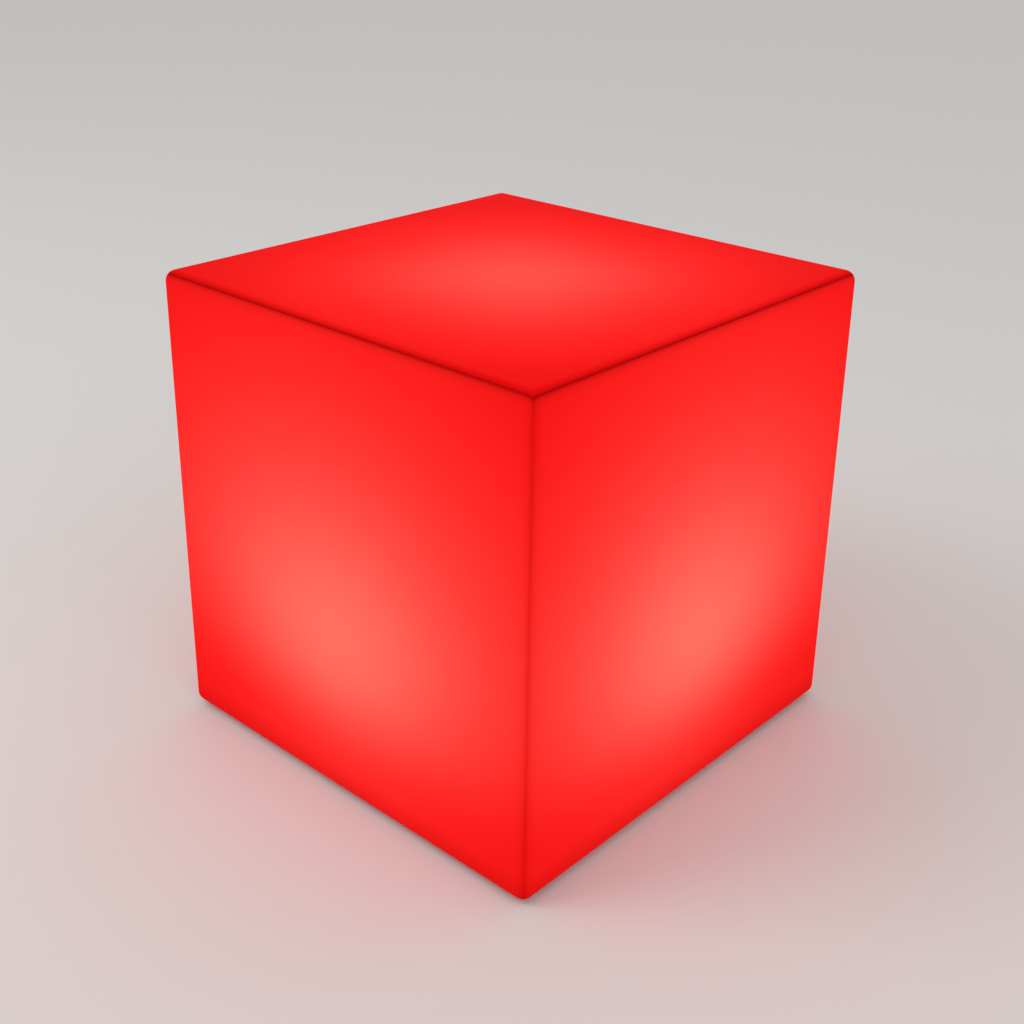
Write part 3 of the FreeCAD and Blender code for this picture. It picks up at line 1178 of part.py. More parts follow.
def make_battery_pads():
    """Foam pads, hollowed to the cells, that the LED board presses down on them."""
    body = new_body("battery_pads")
    saddle = "(Sizes.cell_diameter / 2 + Sizes.thread_gap)"
    foot = f"({CELL_AXIS} + sqrt({saddle}^2 - (Sizes.pad_width / 2)^2))"
    near, far = (f"({CELL_OFFSET} {sign} Sizes.pad_width / 2)" for sign in "-+")
    for side in (1, -1):
        name = "near" if side > 0 else "far"
        face = new_sketch(body, f"{name}_outline", "YZ_Plane")
        outline(face, [
            (f"{side} * {near}", LED_BOARD),
            (f"{side} * {near}", foot, saddle, -side),
            (f"{side} * {far}", foot),
            (f"{side} * {far}", LED_BOARD),
        ])
        pad(body, f"{name}_pad", face, "Sizes.pad_length", midplane=True)
    return body


def lead_along(places, diameter, bend):
    """A round wire through places, each (x, y, z) as expressions, with an arc at every corner."""
    points = [Vector(*[at(coordinate) for coordinate in place]) for place in places]
    radius = at(bend)
    edges, start = [], points[0]
    for before, corner, after in zip(points, points[1:], points[2:]):
        back, forth = (before - corner).normalize(), (after - corner).normalize()
        half_turn = (math.pi - back.getAngle(forth)) / 2
        reach = radius * math.tan(half_turn)
        into, out = corner + back * reach, corner + forth * reach
        middle = corner + (back + forth).normalize() * (radius / math.cos(half_turn) - radius)
        edges += [Part.LineSegment(start, into).toShape(), Part.Arc(into, middle, out).toShape()]
        start = out
    edges.append(Part.LineSegment(start, points[-1]).toShape())
    section = Part.Circle(points[0], points[1] - points[0], at(diameter) / 2).toShape()
    return Part.Wire(edges).makePipeShell([Part.Wire([section])], True, False)


def make_leads(label, shapes):
    """A sub-part of several wires."""
    feature = document.addObject("Part::Feature", label)
    feature.Label = label
    feature.Shape = Part.Compound(shapes)
    return feature


def make_battery_leads():
    """A wire from each end of each cell to its solder joint on the control board."""
    leads = []
    for side in ("1", "-1"):
        for end in ("1", "-1"):
            run, joint = f"{end} * {LEAD_RISE}", f"{end} * Sizes.lead_pad_x"
            cell, landing = f"{side} * {CELL_OFFSET}", f"{side} * Sizes.lead_pad_y"
            level = f"{CONTROL_TOP} + Sizes.lead_rise"
            leads.append(lead_along([
                (f"{end} * (Sizes.cell_length / 2 + Sizes.cell_nub)", cell, CELL_AXIS),
                (run, cell, CELL_AXIS),
                (run, cell, level),
                (run, landing, level),
                (joint, landing, level),
                (joint, landing, CONTROL_TOP),
            ], "Sizes.lead_diameter", "Sizes.lead_bend"))
    return make_leads("battery_leads", leads)


def make_led_leads():
    """Two wires from the connector, up through the LED board and over to its solder joints."""
    leads = []
    for side in ("1", "-1"):
        hole, joint = f"{side} * Sizes.led_lead_gap / 2", f"{side} * Sizes.led_lead_spread / 2"
        level = f"{LED_BOARD_TOP} + Sizes.led_lead_rise"
        leads.append(lead_along([
            (hole, "0", f"{CONTROL_TOP} + Sizes.connector_height"),
            (hole, "0", level),
            (joint, "0", level),
            (joint, "0", LED_BOARD_TOP),
        ], "Sizes.lead_diameter", "Sizes.led_lead_bend"))
    return make_leads("led_leads", leads)


MAKERS = [
    make_cube_shell, make_feet, make_collar_inserts,
    make_collar, make_collar_gasket, make_collar_screws,
    make_engine_base, make_engine_seal,
    make_lens_gasket, make_lens_cover, make_lens_screws,
    make_led_board, make_led_board_screws, make_led_chips, make_remote_receiver,
    make_control_board, make_control_board_screws, make_control_chips, make_capacitors,
    make_charger_coil, make_led_connector,
    make_switch_body, make_switch_plunger, make_power_button, make_button_ring,
    make_charge_socket, make_socket_nut, make_port_plug, make_charge_window,
    make_battery_cells, make_battery_pads, make_battery_leads, make_led_leads,
]


# ---------------------------------------------------------------- check and write

def faults_of(bodies):
    """Everything in the document that failed, in words."""
    faults = [f"{item.Label}: {item.State}" for item in document.Objects
              if "Invalid" in item.State or "Error" in item.State]
    for body in bodies:
        if body.Shape.isNull() or not body.Shape.isValid() or not body.Shape.Solids:
            faults.append(f"{body.Label}: no valid solid")
    return faults


parts = [make() for make in MAKERS]
document.recompute()
problems = faults_of(parts)
if problems:
    raise RuntimeError("; ".join(problems))

os.makedirs("parts", exist_ok=True)
for part in parts:
    part.Shape.exportStep(os.path.join("parts", f"{part.Label}.step"))
    print(f"{part.Label}: {len(part.Shape.Solids)} solid(s), {part.Shape.Volume / 1000:.2f} cm3")
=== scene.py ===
"""Looks of a 40 cm glowing garden cube: a milky moulded shell lit red from a light engine in its foot."""
import itertools
import math

import bmesh
import bpy
from mathutils import Matrix, Vector


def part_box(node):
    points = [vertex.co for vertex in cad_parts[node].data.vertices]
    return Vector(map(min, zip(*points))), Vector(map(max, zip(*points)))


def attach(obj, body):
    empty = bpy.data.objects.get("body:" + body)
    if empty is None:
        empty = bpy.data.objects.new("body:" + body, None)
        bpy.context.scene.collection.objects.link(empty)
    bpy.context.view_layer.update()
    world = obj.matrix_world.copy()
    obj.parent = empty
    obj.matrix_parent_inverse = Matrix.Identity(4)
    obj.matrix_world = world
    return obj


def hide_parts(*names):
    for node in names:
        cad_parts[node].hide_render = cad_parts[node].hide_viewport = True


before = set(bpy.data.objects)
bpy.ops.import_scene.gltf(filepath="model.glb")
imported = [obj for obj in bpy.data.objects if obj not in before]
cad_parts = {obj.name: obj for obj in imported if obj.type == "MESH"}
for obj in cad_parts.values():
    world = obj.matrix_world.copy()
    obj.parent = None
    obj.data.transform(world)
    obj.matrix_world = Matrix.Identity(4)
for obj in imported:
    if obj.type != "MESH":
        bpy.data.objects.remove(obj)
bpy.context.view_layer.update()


# ---------------- studio
# A plain pale floor and a plain pale sky, lit by one wide soft lamp high on the left,
# a weaker one on the right and the sky itself.

FLOOR_COLOUR = (0.70, 0.69, 0.68, 1)
FLOOR_REACH, FLOOR_LEVEL = 40.0, -0.0002
PLASTER_GRAIN = 260.0
SKY_LIGHT, SKY_SEEN = 0.72, 0.74
LAMP_AIM = (0, 0, 0.2)
KEY_PLACE, KEY_SIDE, KEY_POWER, KEY_COLOUR = (-1.6, -2.2, 2.6), 1.8, 32.0, (1.0, 0.98, 0.96)
FILL_PLACE, FILL_SIDE, FILL_POWER, FILL_COLOUR = (2.4, -0.6, 1.9), 2.2, 11.0, (0.97, 0.98, 1.0)


def feed(tree, socket, value):
    """Links a socket to an input, or sets the input to a value."""
    if isinstance(value, bpy.types.NodeSocket):
        tree.links.new(value, socket)
    else:
        socket.default_value = value


def new_node(tree, kind, **settings):
    """A shader node: settings that name an input set it or link to it, the rest are properties."""
    node = tree.nodes.new("ShaderNode" + kind)
    wired = {}
    for name, value in settings.items():
        if hasattr(node, name):
            setattr(node, name, value)
        else:
            wired[name] = value
    for name, value in wired.items():
        feed(tree, node.inputs[int(name[1:]) if name[1:].isdigit() else name.replace("_", " ")], value)
    return node


def finish_of(name, colour, roughness, **sockets):
    """A material with a Principled surface; returns it with its tree and its surface node."""
    made = bpy.data.materials.new(name)
    made.use_nodes = True
    surface = made.node_tree.nodes["Principled BSDF"]
    surface.inputs["Base Color"].default_value = colour
    surface.inputs["Roughness"].default_value = roughness
    for socket, value in sockets.items():
        surface.inputs[socket.replace("_", " ")].default_value = value
    return made, made.node_tree, surface


def object_place(tree):
    """Place on the object in the row frame, in metres."""
    return new_node(tree, "TexCoord").outputs["Object"]


def place_parts(tree):
    """The X, Y and Z of the place on the object."""
    return new_node(tree, "SeparateXYZ", Vector=object_place(tree)).outputs


def noise(tree, scale, detail, **settings):
    """Noise over the object, from 0 to 1."""
    place = object_place(tree)
    return new_node(tree, "TexNoise", Vector=place, Scale=scale, Detail=detail, **settings).outputs[0]


def give_bump(tree, surface, height, strength, depth):
    """Tilts the surface's normal by a height."""
    bump = new_node(tree, "Bump", Strength=strength, Distance=depth, Height=height)
    tree.links.new(bump.outputs["Normal"], surface.inputs["Normal"])


def new_object(name, data):
    """An object of some data, linked to the scene."""
    made = bpy.data.objects.new(name, data)
    bpy.context.scene.collection.objects.link(made)
    return made


def soft_lamp(name, place, side, power, colour):
    """A square lamp at a place, turned to the cube."""
    lamp = bpy.data.lights.new(name, "AREA")
    lamp.size, lamp.energy, lamp.color = side, power, colour
    made = new_object(name, lamp)
    made.location = place
    made.rotation_euler = (Vector(LAMP_AIM) - Vector(place)).to_track_quat("-Z", "Y").to_euler()


def make_floor():
    """A wide floor of fine pale plaster."""
    mesh = bpy.data.meshes.new("studio_floor")
    corners = [(x * FLOOR_REACH, y * FLOOR_REACH, FLOOR_LEVEL)
               for x, y in ((-1, -1), (1, -1), (1, 1), (-1, 1))]
    mesh.from_pydata(corners, [], [(0, 1, 2, 3)])
    floor = new_object("studio_floor", mesh)
    made, tree, surface = finish_of("pale_plaster", FLOOR_COLOUR, 0.75)
    give_bump(tree, surface, noise(tree, PLASTER_GRAIN, 4.0), strength=0.12, depth=0.0006)
    floor.data.materials.append(made)


def make_sky():
    """Even light from all round; what the camera, glass and metal see of it is pale."""
    world = bpy.data.worlds.new("pale_studio")
    world.use_nodes = True
    tree = world.node_tree
    tree.nodes.clear()
    path = new_node(tree, "LightPath")
    seen = new_node(tree, "Math", operation="MAXIMUM", _0=path.outputs["Is Camera Ray"],
                    _1=path.outputs["Is Transmission Ray"])
    level = new_node(tree, "MapRange", Value=seen.outputs[0], To_Min=SKY_LIGHT, To_Max=SKY_SEEN)
    light = new_node(tree, "Background", Color=(1.0, 0.99, 0.98, 1), Strength=level.outputs[0])
    out = new_node(tree, "OutputWorld")
    tree.links.new(light.outputs[0], out.inputs["Surface"])
    bpy.context.scene.world = world


make_floor()
make_sky()
soft_lamp("key_lamp", KEY_PLACE, KEY_SIDE, KEY_POWER, KEY_COLOUR)
soft_lamp("fill_lamp", FILL_PLACE, FILL_SIDE, FILL_POWER, FILL_COLOUR)
bpy.context.scene.view_settings.view_transform = "Standard"


# ---------------- camera
# A little above the cube and turned so that one upright edge faces it, as in the photograph.

CAMERA_PLACE = (0.7235, -0.7966, 0.7066)
CAMERA_BEARING, CAMERA_TILT, CAMERA_ROLL = (math.radians(angle) for angle in (42.187, 25.737, 0.823))
FOCAL_LENGTH, SENSOR_WIDTH, NEAREST = 49.129, 36.0, 0.01


def make_camera():
    """The camera, from its bearing round the Z axis, its tilt and its roll."""
    back = Vector((math.sin(CAMERA_BEARING) * math.cos(CAMERA_TILT),
                   -math.cos(CAMERA_BEARING) * math.cos(CAMERA_TILT), math.sin(CAMERA_TILT)))
    level = Vector((math.cos(CAMERA_BEARING), math.sin(CAMERA_BEARING), 0))
    upright = back.cross(level)
    right = level * math.cos(CAMERA_ROLL) + upright * math.sin(CAMERA_ROLL)
    up = upright * math.cos(CAMERA_ROLL) - level * math.sin(CAMERA_ROLL)
    lens = bpy.data.cameras.new("view")
    lens.lens, lens.sensor_width, lens.clip_start = FOCAL_LENGTH, SENSOR_WIDTH, NEAREST
    made = new_object("view", lens)
    made.matrix_world = Matrix.Translation(CAMERA_PLACE) @ Matrix((right, up, back)).transposed().to_4x4()
    bpy.context.scene.camera = made


make_camera()


# ---------------- cube shell
# Rotationally moulded in milky polyethylene, one even wall with rounded, slightly thicker edges.
# The LEDs in its foot light each wall from inside; that glow is painted into the shell's emission
# colour by place, strongest a third of the way up the sides and in the middle of the top, with painted
# shade keeping the thick edges dark.

SHELL_LOW, SHELL_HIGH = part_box("cube_shell")
HALF_WIDTH = SHELL_HIGH.x
SHELL_BASE, SHELL_TOP = SHELL_LOW.z, SHELL_HIGH.z
WALL_LEAN = math.tan(math.radians(0.65))
# Base colour painted red for the LEDs' light; the real shell is milky white.
PAINTED_GLOW_RED = (0.11, 0.0015, 0.0015, 1)
LIT_LEVEL, LOBE_SOFTNESS = 0.0611, 0.0428
SIDE_PEAK, SIDE_CONTRAST, SIDE_WHITENESS = 8.0, 1.503, 0.1479
SIDE_FADE, FADE_LEVEL = 3.81, 0.15
FOOT_GLOW, FOOT_FADE = 0.0065, 7.06
FOOT_REACH, FOOT_WHITE, FOOT_RED = 0.030, 0.55, 0.78
TOP_WHITENESS, TOP_REST, TOP_RED = 0.0723, 0.0008, 0.045
TOP_SPREAD, TOP_CONTRAST, TOP_SQUARENESS = 0.1039, 1.866, 2.609
TOP_CENTRE = (0.0145, -0.0109)
FULL_RED, RED_LOSS, RED_REACH = 0.94, 0.27, 0.0075
WALL_BORDER = 0.001
EDGE_REACHES = (0.0026, 0.0038, 0.0032)
EDGE_DARKNESS = (0.64, 0.17, 0.12)
EDGE_PALENESS = (1.0, 0.60, 0.50)
WALL_DRIFT = 0.06
CLOUD_LEAST, CLOUD_SPAN = 0.30, 0.30
BLUE_SHARE, BLUE_LOSS = 0.90, 1.1


def new_group(name, inputs, outputs):
    """An empty shader group of plain numbers; inputs are names with values, outputs are names."""
    group = bpy.data.node_groups.new(name, "ShaderNodeTree")
    kind = "NodeSocketFloat"
    for label, value in inputs.items():
        group.interface.new_socket(label, in_out="INPUT", socket_type=kind).default_value = value
    for label in outputs:
        group.interface.new_socket(label, in_out="OUTPUT", socket_type=kind)
    return group, group.nodes.new("NodeGroupInput"), group.nodes.new("NodeGroupOutput")


def placed(tree, group, **values):
    """A group placed in a material with its own values; returns its outputs."""
    return new_node(tree, "Group", node_tree=group, **values).outputs


class Sums:
    """Writes arithmetic as Math nodes of one tree."""

    def __init__(self, tree):
        self.tree = tree

    def run(self, operation, *values):
        node = self.tree.nodes.new("ShaderNodeMath")
        node.operation = operation
        for socket, value in zip(node.inputs, values):
            feed(self.tree, socket, value)
        return node.outputs[0]

    def add(self, a, b):
        return self.run("ADD", a, b)

    def less(self, a, b):
        return self.run("SUBTRACT", a, b)

    def times(self, a, b):
        return self.run("MULTIPLY", a, b)

    def over(self, a, b):
        return self.run("DIVIDE", a, b)

    def power(self, a, b):
        return self.run("POWER", a, b)

    def smaller(self, a, b):
        return self.run("MINIMUM", a, b)

    def larger(self, a, b):
        return self.run("MAXIMUM", a, b)

    def size(self, a):
        return self.run("ABSOLUTE", a)

    def exp(self, a, rate):
        """e to the power of a times the rate."""
        return self.run("EXPONENT", self.times(a, rate))

    def length(self, a, b):
        """The diagonal of a rectangle with sides a and b."""
        return self.run("SQRT", self.add(self.times(a, a), self.times(b, b)))

    def rest(self, a):
        return self.less(1.0, a)

    def ramp(self, value, start, end):
        """0 at start, 1 at end, eased between them."""
        node = new_node(self.tree, "MapRange", interpolation_type="SMOOTHSTEP", Value=value)
        node.inputs["From Min"].default_value = start
        node.inputs["From Max"].default_value = end
        return node.outputs[0]

    def mix(self, share, a, b):
        """a where share is 0, b where it is 1."""
        return self.add(self.times(self.rest(share), a), self.times(share, b))


def make_glow_group():
    """Painted glow of the shell by place: how white the wall's light is, how red, and which is the
    underside.
    """
    group, _, out = new_group("wall_glow", {}, ("Whiteness", "Redness", "Underside"))
    do = Sums(group)
    split = place_parts(group)
    x, y = do.size(split["X"]), do.size(split["Y"])
    z = split["Z"]

    # How far the point lies inside each wall's plane.
    wall = do.less(HALF_WIDTH, do.times(do.less(z, SHELL_BASE), WALL_LEAN))
    from_side, from_other = do.less(wall, do.larger(x, y)), do.less(wall, do.smaller(x, y))
    from_top = do.less(SHELL_TOP, z)
    from_base = do.less(z, SHELL_BASE)

    # Painted light of the LEDs on the sides.
    rise = do.less(z, LIT_LEVEL)
    rise_squared = do.times(rise, rise)
    lobe = do.run("SQRT", do.add(rise_squared, LOBE_SOFTNESS ** 2))
    lobe = do.times(do.add(rise, lobe), 0.5)
    away = do.add(do.times(x, x), do.times(y, y))
    distance = do.add(away, rise_squared)
    light = do.over(do.times(lobe, do.larger(x, y)), do.times(distance, distance))
    fade = do.exp(do.less(FADE_LEVEL, z), SIDE_FADE)
    sides = do.times(do.times(do.power(do.over(light, SIDE_PEAK), SIDE_CONTRAST), SIDE_WHITENESS), fade)
    sides = do.add(sides, do.times(do.exp(z, -FOOT_FADE), FOOT_GLOW))

    # Painted light on the top, a blunt spot a little off its middle.
    across, along = (do.size(do.less(split[axis], middle))
                     for axis, middle in zip("XY", TOP_CENTRE))
    reach = do.power(do.add(do.power(across, TOP_SQUARENESS), do.power(along, TOP_SQUARENESS)),
                     1 / TOP_SQUARENESS)
    spread = do.power(do.over(reach, TOP_SPREAD), TOP_CONTRAST)
    top = do.add(do.times(do.exp(spread, -1.0), TOP_WHITENESS), TOP_REST)
    on_top = do.ramp(do.less(from_side, from_top), -WALL_BORDER, WALL_BORDER)
    under = do.ramp(do.less(from_side, from_base), -WALL_BORDER, WALL_BORDER)
    white = do.times(do.mix(on_top, sides, top), do.rest(under))

    # Painted shade along the thick edges: dark and narrow round the top, softer down the upright edges and
    # round the base.
    upright = do.times(do.rest(on_top), do.rest(under))
    edge_shades = []
    for other, reach, share in zip((from_top, from_other, from_base), EDGE_REACHES, (1.0, upright, 1.0)):
        apart = do.size(do.less(from_side, other))
        edge_shades.append(do.times(do.exp(apart, -1 / reach), share))
    kept_red, kept_white = (do.times(do.times(*kept[:2]), kept[2]) for kept in (
        [do.rest(do.times(edge_shade, depth)) for edge_shade, depth in zip(edge_shades, depths)]
        for depths in (EDGE_DARKNESS, EDGE_PALENESS)))
    white = do.times(white, kept_white)
    full = do.less(FULL_RED, do.times(do.exp(white, -1 / RED_REACH), RED_LOSS))
    full = do.add(full, do.times(on_top, TOP_RED))
    # Painted shade near the base: the glow dims over the lowest FOOT_REACH of the walls.
    above_foot = do.ramp(from_base, 0.0, FOOT_REACH)
    white = do.times(white, do.mix(above_foot, FOOT_WHITE, 1.0))
    red = do.times(do.times(kept_red, do.mix(above_foot, FOOT_RED, 1.0)), full)
    for label, value in (("Whiteness", white), ("Redness", red), ("Underside", under)):
        group.links.new(value, out.inputs[label])
    return group


WALL_GLOW = make_glow_group()


def make_stipple_group():
    """Fine skin that a mould leaves on plastic or rubber: a height, and a slow drift over the piece."""
    group, given, out = new_group("mould_skin", {"Grain": 1500.0, "Drift": 20.0}, ("Height", "Drift"))
    fine = noise(group, given.outputs["Grain"], 3.0, Roughness=0.6)
    group.links.new(fine, out.inputs["Height"])
    group.links.new(noise(group, given.outputs["Drift"], 2.0), out.inputs["Drift"])
    return group


MOULD_SKIN = make_stipple_group()


def give_skin(tree, surface, grain, depth, rough, drift=20.0):
    """Bump and uneven gloss of a skin; rough is the lowest and highest roughness."""
    skin = placed(tree, MOULD_SKIN, Grain=grain, Drift=drift)
    give_bump(tree, surface, skin["Height"], strength=0.6, depth=depth)
    gloss = new_node(tree, "MapRange", Value=skin["Drift"], To_Min=rough[0], To_Max=rough[1])
    tree.links.new(gloss.outputs[0], surface.inputs["Roughness"])
    return skin


def make_lit_shell():
    """Milky polyethylene with red light behind it, painted in as its red base colour and as glow in its
    emission colour.
    """
    made, tree, surface = finish_of("lit_polyethylene", PAINTED_GLOW_RED, 0.5, Specular_IOR_Level=0.006,
                                    Emission_Strength=1.0)
    skin = give_skin(tree, surface, grain=900.0, depth=0.00004, rough=(0.42, 0.55), drift=14.0)
    glow = placed(tree, WALL_GLOW)
    do = Sums(tree)
    # The painted glow drifts a little over the walls and is mottled on the underside.
    drift = do.add(do.times(do.less(skin["Drift"], 0.5), WALL_DRIFT), 1.0)
    cloud = do.add(do.times(skin["Drift"], CLOUD_SPAN), CLOUD_LEAST)
    white = do.times(glow["Whiteness"], drift)
    red = do.times(glow["Redness"], do.mix(glow["Underside"], 1.0, cloud))
    blue = do.times(white, do.less(BLUE_SHARE, do.times(white, BLUE_LOSS)))
    mixed = new_node(tree, "CombineColor", Red=red, Green=white, Blue=blue)
    tree.links.new(mixed.outputs[0], surface.inputs["Emission Color"])
    return made


def dress(node, material):
    """Gives a CAD node its material."""
    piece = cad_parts[node]
    piece.data.materials.clear()
    piece.data.materials.append(material)


dress("cube_shell", make_lit_shell())


# ---------------- feet
# Four round feet of black nitrile rubber, compression moulded with grip rings on the underside and
# glued under the corners of the shell. They pick up pale dust from paving.

FOOT_CENTRE = 0.155
GRIP_RING_PITCH = 0.0024
RUBBER_BLACK, PAVING_DUST = (0.035, 0.035, 0.038, 1), (0.38, 0.36, 0.33, 1)
TREAD_TOP, TREAD_LOW = 0.0012, 0.0002
SETTLED_DUST = (0.42, 0.40, 0.37, 1)
SCRATCH_LAYS = ((0.5, 0.06), (2.1, 0.08))
SCRATCH_FINENESS = 14.0
SCUFF_SHARE = 0.6


def blend_colours(tree, share, low, high):
    """A colour between two, by a mask; a colour is a socket or four numbers."""
    node = new_node(tree, "Mix", data_type="RGBA")
    for socket, value in ((0, share), (6, low), (7, high)):
        feed(tree, node.inputs[socket], value)
    return node.outputs[2]


def colour_by(tree, surface, share, low, high):
    """Colours a surface between two colours by a mask."""
    tree.links.new(blend_colours(tree, share, low, high), surface.inputs["Base Color"])


def shades(colour, *factors):
    """A colour made darker or lighter by each factor."""
    return [(*(min(1.0, part * factor) for part in colour[:3]), 1) for factor in factors]


def make_scuff_group():
    """Fine rubbed scratches that cross each other, and settled dust in patches."""
    group, given, out = new_group("scuffs_and_dust", {"Scale": 60.0}, ("Scuffs", "Dust"))
    do = Sums(group)
    masks = []
    for turn, stretch in SCRATCH_LAYS:
        laid = new_node(group, "Mapping", Vector=object_place(group), Rotation=(0, 0, turn),
                        Scale=(stretch, 1.0, 1.0))
        lines = new_node(group, "TexNoise", Vector=laid.outputs[0],
                         Scale=do.times(given.outputs["Scale"], SCRATCH_FINENESS), Detail=2.0)
        masks.append(do.ramp(lines.outputs["Fac"], 0.62, 0.72))
    patches = noise(group, given.outputs["Scale"], 5.0, Roughness=0.65)
    group.links.new(do.larger(*masks), out.inputs["Scuffs"])
    group.links.new(do.ramp(patches, 0.45, 0.75), out.inputs["Dust"])
    return group


SCUFFS_AND_DUST = make_scuff_group()


def moulded(name, colour, rough, grain=2200.0, depth=0.00003, shade=0.05, dust=0.0, dust_scale=60.0,
            **sockets):
    """A moulded plastic or rubber: mould skin, slow shade, and dust and scuffs where it is handled."""
    made, tree, surface = finish_of(name, colour, rough[0], **sockets)
    skin = give_skin(tree, surface, grain, depth, rough)
    shaded = blend_colours(tree, skin["Drift"], *shades(colour, 1 - shade, 1 + shade))
    if dust:
        worn = placed(tree, SCUFFS_AND_DUST, Scale=dust_scale)
        do = Sums(tree)
        marks = do.times(do.larger(worn["Dust"], do.times(worn["Scuffs"], SCUFF_SHARE)), dust)
        shaded = blend_colours(tree, marks, shaded, SETTLED_DUST)
    tree.links.new(shaded, surface.inputs["Base Color"])
    return made


def make_foot_rubber():
    """Rubber with grip rings round each foot's middle, and dust on what touches the ground."""
    made, tree, surface = finish_of("foot_rubber", RUBBER_BLACK, 0.7)
    do = Sums(tree)
    split = place_parts(tree)
    out_x, out_y = (do.less(do.size(split[axis]), FOOT_CENTRE) for axis in "XY")
    reach = do.length(out_x, out_y)
    rings = do.run("SINE", do.times(reach, 2 * math.pi / GRIP_RING_PITCH))
    low = do.ramp(split["Z"], TREAD_TOP, TREAD_LOW)
    worn = placed(tree, SCUFFS_AND_DUST, Scale=140.0)
    give_bump(tree, surface, do.times(rings, low), strength=0.8, depth=0.0003)
    dusty = do.times(do.times(low, 0.55), do.add(worn["Dust"], 0.25))
    colour_by(tree, surface, dusty, RUBBER_BLACK, PAVING_DUST)
    return made


dress("feet", make_foot_rubber())


# ---------------- brass inserts
# Six turned and knurled brass inserts, pressed hot into the shell's bosses to take the collar screws.

KNURL_PITCH = 0.0008
BRASS, BRASS_DULL, BRASS_BRIGHT = (0.80, 0.58, 0.27, 1), (0.62, 0.42, 0.20, 1), (0.86, 0.64, 0.32, 1)


def make_knurled_brass():
    """Bright brass with crossed knurling that runs with the height."""
    made, tree, surface = finish_of("turned_brass", BRASS, 0.28, Metallic=1.0)
    do = Sums(tree)
    split = place_parts(tree)
    lines = [do.run("SINE", do.times(do.add(do.add(split["X"], split["Y"]), do.times(split["Z"], way)),
                                     2 * math.pi / KNURL_PITCH)) for way in (1.0, -1.0)]
    give_bump(tree, surface, do.times(*lines), strength=0.7, depth=0.0001)
    skin = placed(tree, MOULD_SKIN, Grain=3000.0, Drift=300.0)
    colour_by(tree, surface, skin["Drift"], BRASS_DULL, BRASS_BRIGHT)
    return made


dress("collar_inserts", make_knurled_brass())


# ---------------- collar and its gasket
# The bayonet ring that carries the light engine, injection moulded in white ABS with a fine
# spark-eroded skin. It is screwed up against the shell over a flat gasket of black foam rubber.

ABS_WHITE = (0.78, 0.78, 0.76, 1)
WHITE_ABS = moulded("white_abs", ABS_WHITE, (0.38, 0.52), grain=2600.0, depth=0.00004, shade=0.03,
                    dust=0.16, dust_scale=40.0)
SEAL_RUBBER = moulded("seal_rubber", (0.022, 0.022, 0.024, 1), (0.55, 0.72), grain=1800.0, depth=0.00005,
                      shade=0.10, dust=0.06, dust_scale=120.0)

dress("collar", WHITE_ABS)
dress("collar_gasket", SEAL_RUBBER)


# ---------------- collar screws
# Six zinc-plated M4 x 10 pan-head screws with cross recesses, cold headed and rolled, driven up
# through the collar into the brass inserts.

COLLAR_SCREW_CIRCLE = 0.094
COLLAR_SCREW_SEAT = 0.0107
HEAD_OUTLINE = ((0.34, 1.0), (0.43, 0.94), (0.482, 0.74), (0.5, 0.42), (0.5, 0.0))
HEAD_RATIO, HEAD_RISE = 1.9, 0.6
CROSS_REACH, CROSS_WIDTH, CROSS_DEPTH, CROSS_FLOOR, CROSS_TAPER = 0.27, 0.07, 0.6, 0.42, 0.8
CORE_RATIO, TIP_RATIO = 0.39, 0.8
THREAD_SIDES, THREAD_STEPS = 16, 6
SMOOTH_ANGLE = math.radians(35)
M4_SCREW, M3_SCREW = (0.004, 0.010, 0.0007), (0.003, 0.008, 0.0005)
ZINC, ZINC_DULL, ZINC_BRIGHT = (0.70, 0.71, 0.73, 1), (0.60, 0.61, 0.63, 1), (0.76, 0.77, 0.78, 1)


def ring_of_points(mesh, centre, radius, height, count):
    """A level ring of points round a centre; the radius may depend on the angle."""
    points = []
    for step in range(count):
        angle = 2 * math.pi * step / count
        reach = radius(angle) if callable(radius) else radius
        points.append(mesh.verts.new((centre[0] + reach * math.cos(angle),
                                      centre[1] + reach * math.sin(angle), height)))
    return points


def bridge(mesh, rings, finish=0):
    """Faces from each ring to the next; all rings have as many points."""
    for lower, upper in zip(rings, rings[1:]):
        for step in range(len(lower)):
            corners = lower[step - 1], lower[step], upper[step], upper[step - 1]
            mesh.faces.new(corners).material_index = finish


def close(mesh, ring, finish=0):
    """One face over a ring."""
    mesh.faces.new(ring).material_index = finish


def fill_between(mesh, outer, inner):
    """Flat faces between an outer and an inner outline at one height."""
    edges = []
    for ring in (outer, inner):
        for start, end in zip(ring, ring[1:] + ring[:1]):
            edges.append(mesh.edges.get((start, end)) or mesh.edges.new((start, end)))
    bmesh.ops.triangle_fill(mesh, edges=edges, use_beauty=True, use_dissolve=False)


def cross_outline(mesh, centre, reach, width, height):
    """The twelve corners of a cross."""
    corners = [(reach, -width), (reach, width), (width, width)]
    points = []
    for quarter in range(4):
        angle = math.pi / 2 * quarter
        for x, y in corners:
            points.append(mesh.verts.new((centre[0] + x * math.cos(angle) - y * math.sin(angle),
                                          centre[1] + x * math.sin(angle) + y * math.cos(angle), height)))
    return points


